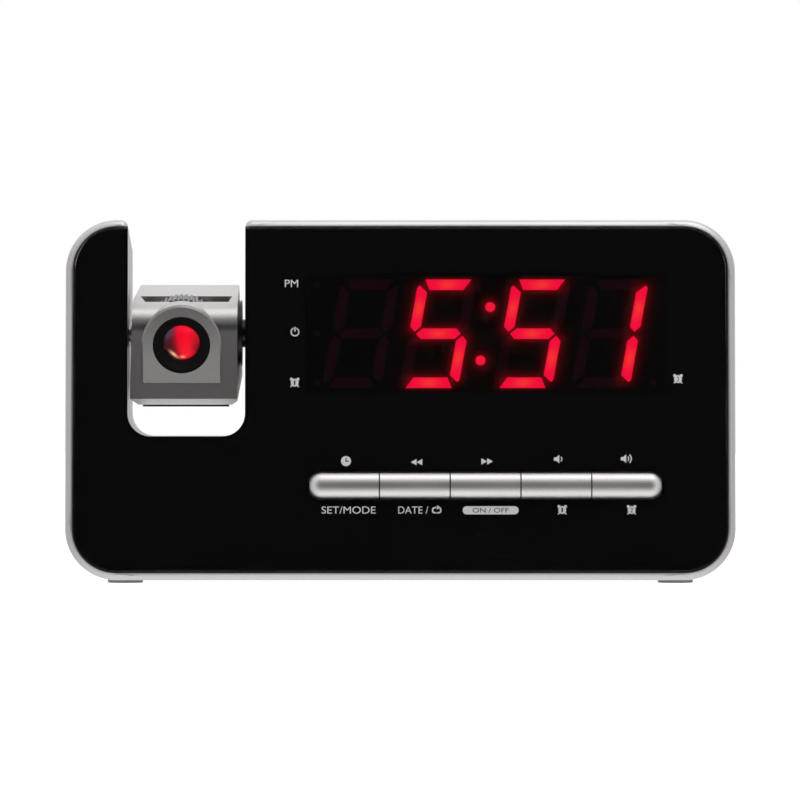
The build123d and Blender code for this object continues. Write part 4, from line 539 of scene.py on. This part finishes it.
def segment_edges(kind):
    """Outer and inner edge of a segment, as corners along it and across it from its middle."""
    foot, far = FLAT - THICK, TALL + SEGMENT_TIP
    if kind == "level":
        reach = FLAT + SEGMENT_FLARE
        return ([(-reach, THICK), (reach, THICK)],
                [(-reach, THICK), (-foot, -THICK), (foot, -THICK), (reach, THICK)])
    if kind == "middle":
        edge = [(-FLAT, 0), (-foot, THICK), (foot, THICK), (FLAT, 0)]
        return edge, [(along, -across) for along, across in edge]
    nose = THICK - SEGMENT_NOSE
    return ([(-TALL, 0), (THICK - TALL, THICK), (far - SEGMENT_NOSE, THICK), (far, nose)],
            [(-TALL, 0), (THICK - TALL, -THICK), (far - SEGMENT_MITRE, -THICK), (far, nose)])


def on_digit(kind, side, way, along, across):
    """Place in a digit of a spot along and across one of its segments."""
    if kind == "upright":
        return side * (SIDE + across), way * (RISE / 2 + along)
    return along, way * across + (way * RISE if kind == "level" else 0)


def lit_segment(digit_x, kind, side, way):
    """Face of one segment: its two edges are interpolated along it and the points spread evenly
    between them. Warmth is a bell about its middle. Points, faces and warmth are given back."""
    outer, inner = (np.array(edge, float).T for edge in segment_edges(kind))
    ends = outer[0][0] + SEGMENT_CUT, outer[0][-1] - SEGMENT_CUT
    corners = np.clip(np.concatenate([outer[0], inner[0]]), *ends)
    along = np.unique(np.concatenate([np.linspace(*ends, SEGMENT_STEPS), corners]))
    high, low = np.interp(along, *outer)[:, None], np.interp(along, *inner)[:, None]
    share = np.linspace(0, 1, SEGMENT_ROWS)[None, :]
    mirrored = side * way < 0 if kind == "upright" else way > 0
    if mirrored:
        share = share[:, ::-1]
    along, across = np.broadcast_arrays(along[:, None], low + (high - low) * share)
    x, y = on_digit(kind, side, way, along, across)
    points, faces = front_sheet(digit_x + x + SLANT * y, DISPLAY_V + y, FACE_DEPTHS)
    reach = TALL if kind == "upright" else FLAT
    warmth = HEART * np.exp(-(along / (HEART_SPREAD * reach)) ** 2 - (across / (HEART_SPREAD * SEGMENT)) ** 2)
    return points, faces, np.tile(warmth.ravel(), 2)


def lit_dot(x, rise):
    """Face of one colon dot: a square grid drawn out to a disc. Warmth falls from the middle."""
    line = np.linspace(-1, 1, COLON_STEPS)
    a, b = np.meshgrid(line, line)
    u, v = a * np.sqrt(1 - b ** 2 / 2), b * np.sqrt(1 - a ** 2 / 2)
    points, faces = front_sheet(x + COLON_RADIUS * u, DISPLAY_V + rise + COLON_RADIUS * v, FACE_DEPTHS)
    warmth = DOT_HEART * (1 - np.hypot(u, v))
    return points, faces, np.tile(warmth.ravel(), 2)


lit = [lit_segment(*spot) for spot in LIT_SEGMENTS] + [lit_dot(*spot) for spot in COLON_SPOTS]
piece_of("segment_faces", *joined(lit), LIT, "case", "lit_red",
         {"warmth": np.concatenate([part[2] for part in lit])})


def halo_sheet():
    """Thin sheet over the display window, a plain grid. Its glow is an exponential of the distance to
    the nearest lit segment or dot, and ends at the sheet's upper and lower edge."""
    x = np.linspace(COLUMN_X - HALO_WIDE, COLUMN_X + HALO_WIDE, HALO_COLUMNS)[None, :]
    rise = np.linspace(-HALO_HIGH, HALO_HIGH, HALO_ROWS)[:, None]
    x, rise = np.broadcast_arrays(x, rise)
    near = np.full(x.shape, np.inf)
    for digit_x, kind, side, way in LIT_SEGMENTS:
        middle_x, middle_y = on_digit(kind, side, way, 0, 0)
        px, py = x - digit_x - SLANT * rise - middle_x, rise - middle_y
        along, across, reach = (py, px, TALL) if kind == "upright" else (px, py, FLAT)
        past = np.maximum(np.abs(along) - (reach - THICK), 0)
        near = np.minimum(near, np.hypot(past, across) - THICK)
    for dot_x, dot_rise in COLON_SPOTS:
        near = np.minimum(near, np.hypot(x - dot_x, rise - dot_rise) - COLON_RADIUS)
    glow = HALO_GLOW * np.exp(-np.maximum(near, 0) / HALO_REACH)
    glow = glow * np.clip((HALO_HIGH - np.abs(rise)) / HALO_FADE, 0, 1)
    both = np.concatenate([glow.ravel(), np.zeros(glow.size)])
    piece_of("digit_halo", *front_sheet(x, DISPLAY_V + rise, HALO_DEPTHS), HALO, "case", "lit_red",
             {"glow": both})


halo_sheet()

# ================================================================ light in the lens: red glow with painted shade, glints, highlights and reflection
GLOW_RADIUS = 5.0                       # of the dome of light behind the lens
GLOW_DEPTH, GLOW_DOME = -11.1, 0.4      # its rim from the pivot, and its middle behind its rim
GLOW_THICK = 0.3
GLOW_RINGS, GLOW_SPOKES = 28, 96

# red glow and painted shade, glints, highlights and reflection over the dome, in shares of its radius
LEFT_RED, MORE_RED = 0.035, 0.80        # red on the left, and what comes to it further right
RED_START, RED_LEAN = -0.30, 0.22       # where the red rises, and how its edge leans
RED_END, END_LOSS = 0.62, 0.55          # where it falls again, and by how much
RED_BLUR = 0.10                         # how gently it rises and falls
RIM_START, RIM_PAINTED_SHADE = 0.84, 0.5         # where the rim's painted shade begins, and how deep it gets
RED_GAIN, RED_BLUE = 1.06, 0.026        # red and blue in the red light

# painted spots: a painted shade on the lower right, a painted highlight on the right edge, a painted
# reflection of a violet veil on the upper left, a paler painted highlight on the upper right and two painted
# glints on the lower left; each has strength, middle, half widths along and across, and turn if it is turned
PAINTED_SHADE_SPOT, PAINTED_EDGE_HIGHLIGHT = (0.55, (0.80, -0.32), 0.30, 0.25), (0.20, (0.90, 0.34), 0.09, 0.28)
PAINTED_HAZE_SPOT, PAINTED_WARM_SPOT = (1.0, (-0.70, 0.45), 0.40, 0.24, 0.9), (0.4, (0.28, 0.59), 0.28, 0.08, -0.3)
PAINTED_LONG_GLINT, PAINTED_LOW_GLINT = (1.0, (-0.44, -0.70), 0.24, 0.07, -0.7), (0.7, (0.04, -0.84), 0.12, 0.06, 0.1)
PAINTED_HAZE_COLOUR, PAINTED_GLINT_COLOUR, PAINTED_WARM_COLOUR = (0.06, 0.045, 0.085), (0.9, 0.60, 0.40), (0.0, 0.07, 0.05)


def bell(u, v, strength, middle, wide, high, turn=0.0):
    """Bell about a spot: the exponential of minus the squared distance, measured in half widths
    along and across a turned direction."""
    du, dv = u - middle[0], v - middle[1]
    along = du * math.cos(turn) + dv * math.sin(turn)
    across = dv * math.cos(turn) - du * math.sin(turn)
    return strength * np.exp(-(along / wide) ** 2 - (across / high) ** 2)


def soft_step(value, at):
    """Logistic step: 0 well below a value and 1 well above it."""
    return 1 / (1 + np.exp(-(value - at) / RED_BLUR))


def lens_glow_and_painted_glints(u, v):
    """Red, green and blue of the light behind the lens over its disc: red glow that rises from left to right,
    with painted shade at its rim and on the lower right, a painted reflection of a dull violet veil on the
    upper left, painted highlights on the upper right and the right edge, and painted pale orange glints along
    the lower left."""
    # painted shade round the rim of the red glow
    rim = np.clip((np.hypot(u, v) - RIM_START) / (1 - RIM_START), 0, 1)
    red = MORE_RED * soft_step(u + RED_LEAN * v, RED_START) * (1 - END_LOSS * soft_step(u, RED_END))
    red = (LEFT_RED + red) * (1 - RIM_PAINTED_SHADE * rim)
    # painted shade on the lower right and a painted highlight on the right edge, then a painted reflection,
    # painted glints and a painted highlight added on
    red = red * (1 - bell(u, v, *PAINTED_SHADE_SPOT)) + bell(u, v, *PAINTED_EDGE_HIGHLIGHT)
    painted_haze = bell(u, v, *PAINTED_HAZE_SPOT)
    painted_glint = bell(u, v, *PAINTED_LONG_GLINT) + bell(u, v, *PAINTED_LOW_GLINT)
    painted_warm = bell(u, v, *PAINTED_WARM_SPOT)
    tone = np.stack([RED_GAIN * red * (1 - painted_haze), 0 * red, RED_BLUE * red], axis=-1)
    for light, colour in ((painted_haze, PAINTED_HAZE_COLOUR), (painted_glint, PAINTED_GLINT_COLOUR), (painted_warm, PAINTED_WARM_COLOUR)):
        tone = tone + light[..., None] * np.array(colour)
    return np.concatenate([tone, np.ones((*red.shape, 1))], axis=-1)


def painted_lens_glow_face():
    """Shallow dome just behind the lens: rings of points about the lens axis, deeper in the middle. Its glow
    carries painted shade, glints, highlights and reflection.
    """
    turn = np.linspace(0, 2 * math.pi, GLOW_SPOKES, endpoint=False)[None, :]
    share = np.linspace(0.01, 1, GLOW_RINGS)[:, None]
    u, v = share * np.cos(turn), share * np.sin(turn)
    depth = GLOW_DEPTH + GLOW_DOME * (1 - share ** 2)
    front = on_head(LENS_X + GLOW_RADIUS * u, depth, GLOW_RADIUS * v).reshape(-1, 3)
    back = on_head(LENS_X + GLOW_RADIUS * u, depth + GLOW_THICK, GLOW_RADIUS * v).reshape(-1, 3)
    # colours of the red glow with painted shade, glints, highlights and reflection at each point
    glow_with_painted_glints = lens_glow_and_painted_glints(u, v).reshape(-1, 4)
    points, faces = closed_disc(front, back, *u.shape)
    piece_of("painted_lens_glow", points, faces, PAINTED_LENS_GLOW, "lens_barrel", "lit_red",
             glow_with_painted_glints=np.concatenate([glow_with_painted_glints, glow_with_painted_glints]))


painted_lens_glow_face()

# ================================================================ printed legends
INK, INK_GAP = 0.03, 0.002              # thickness of printed ink, and the air under it

# places in legend units: signs over the buttons, signs under them, and signs beside the display
CLOCK_SIGN, BACK_SIGN, NEXT_SIGN = (346.0, 461.0), (416.5, 462.0), (487.0, 461.3)
QUIET_SIGN, LOUD_SIGN = (558.4, 459.0), (625.2, 458.6)
REPEAT_SIGN, PILL_SIGN, POWER_SIGN = (436.6, 510.0), (490.5, 510.1), (294.8, 331.8)
ALARM_SIGNS = {"one": ("1", 562.0, 509.6), "two": ("2", 631.3, 509.6),
               "left_one": ("1", 294.6, 382.4), "right_two": ("2", 678.0, 378.8)}
ALARM_DIAL = 0.2                        # the dial's middle below the middle of an alarm sign
CLOCK_RADIUS, PILL_SIZE = 5.0, (56.0, 8.2)
NUMBER_SIZES = {"1": (1.6, 4.6), "2": (2.6, 4.6)}

# finish, record slot and layer of each printing
LIGHT_PRINT = (INK_LIGHT, "label_grey", 0)
DARK_PRINT = (INK_DARK, "black_print", 1)


def outline(across, down, corners):
    """Outline through corners counted from a middle, in legend units."""
    return np.array(corners, float) + (across, down)


def circle(across, down, radius, count=40, start=0.0, end=360.0):
    """Points of an arc in legend units, counterclockwise from start to end degrees."""
    turn = np.radians(np.linspace(start, end, count, endpoint=(end - start) < 360))
    return np.stack([across + radius * np.cos(turn), down - radius * np.sin(turn)], axis=-1)


def arc_band(across, down, radius, stroke, start, end):
    """Outline of a stroke along an arc: its outer side out and its inner side back."""
    outer = circle(across, down, radius + stroke / 2, 24, start, end)
    inner = circle(across, down, radius - stroke / 2, 24, start, end)
    return np.concatenate([outer, inner[::-1]])


def pill(across, down, wide, high):
    """Outline of a pill: two half circles joined by straight sides."""
    reach, radius = (wide - high) / 2, high / 2
    right = circle(across + reach, down, radius, 14, -90.0, 90.0)
    left = circle(across - reach, down, radius, 14, 90.0, 270.0)
    return np.concatenate([right, left])


def clock_hands(across, down):
    """Hands of the clock sign: one up, one to the right."""
    hands = [(-0.6, -3.4), (-0.6, 0.6), (2.6, 0.6), (2.6, -0.5), (0.5, -0.5), (0.5, -3.4)]
    return [outline(across, down, hands)]


def triangle_pair(across, down, way):
    """Two triangles one behind the other, pointing to the left (-1) or the right (1)."""
    corners = [(way * 2.9, 0.0), (-way * 2.9, -3.2), (-way * 2.9, 3.2)]
    return [outline(across + shift, down, corners) for shift in (-2.9, 2.9)]


def loudspeaker(across, down, waves):
    """Loudspeaker sign: a box with a horn, and one or two sound arcs."""
    body = [(-4.6, 1.7), (-2.2, 1.7), (0.8, 4.4), (0.8, -4.4), (-2.2, -1.7), (-4.6, -1.7)]
    arcs = [arc_band(across + 0.4, down, 2.9 + 2.6 * step, 1.1, -48, 48) for step in range(waves)]
    return [outline(across, down, body)] + arcs


def repeat_sign(across, down):
    """Repeat sign: a flat oval stroke in two halves, with an arrow head on top. The oval is the
    cosine and the sine, each raised to a power under 1 that fills its corners."""
    shapes = [outline(across, down, [(0.2, -5.2), (0.2, -0.6), (3.6, -2.9)])]
    for start in (-88, 92):
        turn = np.radians(np.linspace(start, start + 176, 30))
        ring = np.stack([np.cos(turn), np.sin(turn)], axis=-1)
        oval = np.sign(ring) * np.abs(ring) ** 0.7
        shapes.append(outline(across, down, np.concatenate([oval * (4.8, 3.3), oval[::-1] * (3.4, 2.0)])))
    return shapes


def power_sign(across, down):
    """Power sign: an open ring with a bar in its gap."""
    bar = [(-0.6, -5.2), (-0.6, -0.2), (0.6, -0.2), (0.6, -5.2)]
    return [arc_band(across, down, 3.9, 1.2, 112, 428), outline(across, down, bar)]


def alarm_sign(across, down):
    """Small alarm clock: dial, two bells and two feet."""
    parts = [circle(across, down + ALARM_DIAL, 3.9)]
    foot = np.array([(3.0, 2.2), (4.6, 4.2), (3.9, 4.8), (2.0, 3.4)])
    for side in (-1, 1):
        parts += [circle(across + side * 3.3, down - 3.3, 1.55, 20), outline(across, down, foot * (side, 1))]
    return parts


def printed(name, outlines, ink):
    """Flat prints on the front: each outline, turned to run one way, is one face just over the plate,
    one a layer of ink above it, and a band of squares between."""
    finish, slot, layer = ink
    low = -INK_GAP - INK * layer
    points, faces, count = [], [], 0
    for edge in outlines:
        after = np.roll(edge, -1, axis=0)
        if np.sum(edge[:, 0] * after[:, 1] - after[:, 0] * edge[:, 1]) > 0:
            edge = edge[::-1]
        x, v = legend_spot(edge[:, 0], edge[:, 1])
        points += [on_front(x, v, low), on_front(x, v, low - INK)]
        size = len(edge)
        loop = np.arange(size) + count
        ahead = np.roll(loop, -1)
        band = np.stack([loop, ahead, ahead + size, loop + size], axis=-1)
        faces += band.tolist() + [loop[::-1].tolist(), (loop + size).tolist()]
        count += 2 * size
    piece_of(name, np.concatenate(points), faces, finish, "case", slot)


def words(name, text, spot, size, ink):
    """Line of plain lettering, made a mesh and stretched to a size in legend units about its
    middle, then laid on the front."""
    finish, slot, layer = ink
    curve = bpy.data.curves.new(name, "FONT")
    curve.body = text
    curve.extrude = 0.01
    maker = new_object(name, curve)
    bpy.context.view_layer.update()
    mesh = bpy.data.meshes.new_from_object(maker.evaluated_get(bpy.context.evaluated_depsgraph_get()))
    bpy.data.objects.remove(maker)
    flat = np.zeros(3 * len(mesh.vertices))
    mesh.vertices.foreach_get("co", flat)
    flat = flat.reshape(-1, 3)
    lowest, highest = flat.min(axis=0), flat.max(axis=0)
    share = (flat - lowest) / (highest - lowest) - 0.5
    x, v = legend_spot(spot[0] + share[:, 0] * size[0], spot[1] - share[:, 1] * size[1])
    depth = -INK_GAP - INK * (layer + 0.5 + share[:, 2])
    mesh.vertices.foreach_set("co", on_front(x, v, depth).ravel())
    put_on(name, mesh, finish, "case")


light_shapes = [circle(*CLOCK_SIGN, CLOCK_RADIUS), *triangle_pair(*BACK_SIGN, way=-1),
                *triangle_pair(*NEXT_SIGN, way=1), *loudspeaker(*QUIET_SIGN, waves=1),
                *loudspeaker(*LOUD_SIGN, waves=2), *repeat_sign(*REPEAT_SIGN),
                pill(*PILL_SIGN, *PILL_SIZE), *power_sign(*POWER_SIGN)]
for number, across, down in ALARM_SIGNS.values():
    light_shapes += alarm_sign(across, down)
printed("light_signs", light_shapes, LIGHT_PRINT)
printed("clock_sign_hands", clock_hands(*CLOCK_SIGN), DARK_PRINT)

words("words_pm", "PM", spot=(291.3, 283.2), size=(13.4, 7.4), ink=LIGHT_PRINT)
words("words_set", "SET/MODE", spot=(348.6, 509.8), size=(54.0, 7.2), ink=LIGHT_PRINT)
words("words_date", "DATE /", spot=(413.2, 509.8), size=(30.0, 7.2), ink=LIGHT_PRINT)
words("words_on_off", "ON / OFF", spot=PILL_SIGN, size=(36.0, 4.6), ink=DARK_PRINT)
for name, (number, across, down) in ALARM_SIGNS.items():
    words("number_" + name, number, (across, down + ALARM_DIAL), NUMBER_SIZES[number], DARK_PRINT)

# ================================================================ stage, light and camera
FLOOR_REACH = 6.0                       # from the clock to the floor's edges
FLOOR_TOP_UP = 0.75                     # light that the eye sees on top of the lit floor
ZONE_RISE = math.radians(9.0)           # the dark zone's axis above level
ZONE_CORE, ZONE_RIM = math.radians(8.0), math.radians(54.0)   # angles from the axis
ZONE_LIGHT = 0.006                      # light left within the core
SIDE_LOSS = 0.45                        # light lost straight to the sides
BEHIND, BEHIND_LIGHT = (0.90, 0.995), (1.0, 0.5)   # cosines to straight behind, and the light there
CAMERA_AIM, CAMERA_AWAY = (-0.0001, -0.0235, 0.0518), 2.5
FRAME_WIDTH = 0.22656                   # what the camera frames at the front of the clock
SENSOR = 36.0                           # width of the camera's sensor, in millimetres


def pale_floor():
    """Level pale floor: lit like paper, and topped up to white for the eye alone, so that the
    shadow under the clock stays."""
    mesh = bpy.data.meshes.new("floor")
    corners = [(FLOOR_REACH * x, FLOOR_REACH * y, 0) for x, y in ((-1, -1), (1, -1), (1, 1), (-1, 1))]
    mesh.from_pydata(corners, [], [(0, 1, 2, 3)])
    made, tree, shader = material("pale floor", Base_Color=(0.86, 0.86, 0.86, 1), Roughness=0.9,
                                  Specular_IOR_Level=0.0, Emission_Color=(1, 1, 1, 1))
    eye = tree.nodes.new("ShaderNodeLightPath")
    glow = combine(tree, "MULTIPLY", eye.outputs["Is Camera Ray"], FLOOR_TOP_UP)
    tree.links.new(glow, shader.inputs["Emission Strength"])
    mesh.materials.append(made)
    floor = new_object("floor", mesh)
    floor.visible_glossy = False


def studio_world():
    """Soft studio: light from everywhere but a dark zone ahead of the clock and a little above it,
    weaker from the sides and from straight behind, and plain white to the eye. The zone is a smooth
    step of the angle to its axis."""
    world = bpy.data.worlds.new("studio")
    bpy.context.scene.world = world
    world.use_nodes = True
    tree = world.node_tree
    back = tree.nodes["Background"]
    places = tree.nodes.new("ShaderNodeTexCoord")
    parts = tree.nodes.new("ShaderNodeSeparateXYZ")
    tree.links.new(places.outputs["Generated"], parts.inputs["Vector"])
    axis = tree.nodes.new("ShaderNodeVectorMath")
    axis.operation = "DOT_PRODUCT"
    axis.inputs[1].default_value = (0.0, -math.cos(ZONE_RISE), math.sin(ZONE_RISE))
    tree.links.new(places.outputs["Generated"], axis.inputs[0])
    zone = ramp(tree, axis.outputs["Value"], (math.cos(ZONE_RIM), math.cos(ZONE_CORE)), (1.0, ZONE_LIGHT))
    side = combine(tree, "MULTIPLY", parts.outputs["X"], parts.outputs["X"])
    side = combine(tree, "SUBTRACT", 1.0, combine(tree, "MULTIPLY", side, SIDE_LOSS))
    behind = ramp(tree, parts.outputs["Y"], BEHIND, BEHIND_LIGHT)
    light = combine(tree, "MULTIPLY", combine(tree, "MULTIPLY", zone, side), behind)
    paths = tree.nodes.new("ShaderNodeLightPath")
    seen = combine(tree, "MAXIMUM", paths.outputs["Is Camera Ray"], light)
    tree.links.new(seen, back.inputs["Strength"])
    back.inputs["Color"].default_value = (1, 1, 1, 1)


def soft_lamp(name, place, aim, size, watts):
    """Square soft lamp at a place, turned towards a point."""
    light = bpy.data.lights.new(name, "AREA")
    light.shape = "SQUARE"
    light.size = size
    light.energy = watts
    lamp = new_object(name, light)
    lamp.location = place
    lamp.rotation_euler = (Vector(aim) - Vector(place)).to_track_quat("-Z", "Y").to_euler()


def level_camera():
    """Camera ahead of the clock, level with its middle."""
    data = bpy.data.cameras.new("camera")
    data.sensor_width = SENSOR
    data.lens = SENSOR * CAMERA_AWAY / FRAME_WIDTH
    data.clip_end = 50.0
    camera = new_object("camera", data)
    camera.location = (CAMERA_AIM[0], CAMERA_AIM[1] - CAMERA_AWAY, CAMERA_AIM[2])
    camera.rotation_euler = (math.radians(90), 0, 0)
    bpy.context.scene.camera = camera


pale_floor()
studio_world()
soft_lamp("top lamp", (0.25, -0.35, 1.1), (0, 0, 0.05), size=0.8, watts=1.5)
level_camera()
bpy.context.scene.view_settings.view_transform = "Standard"
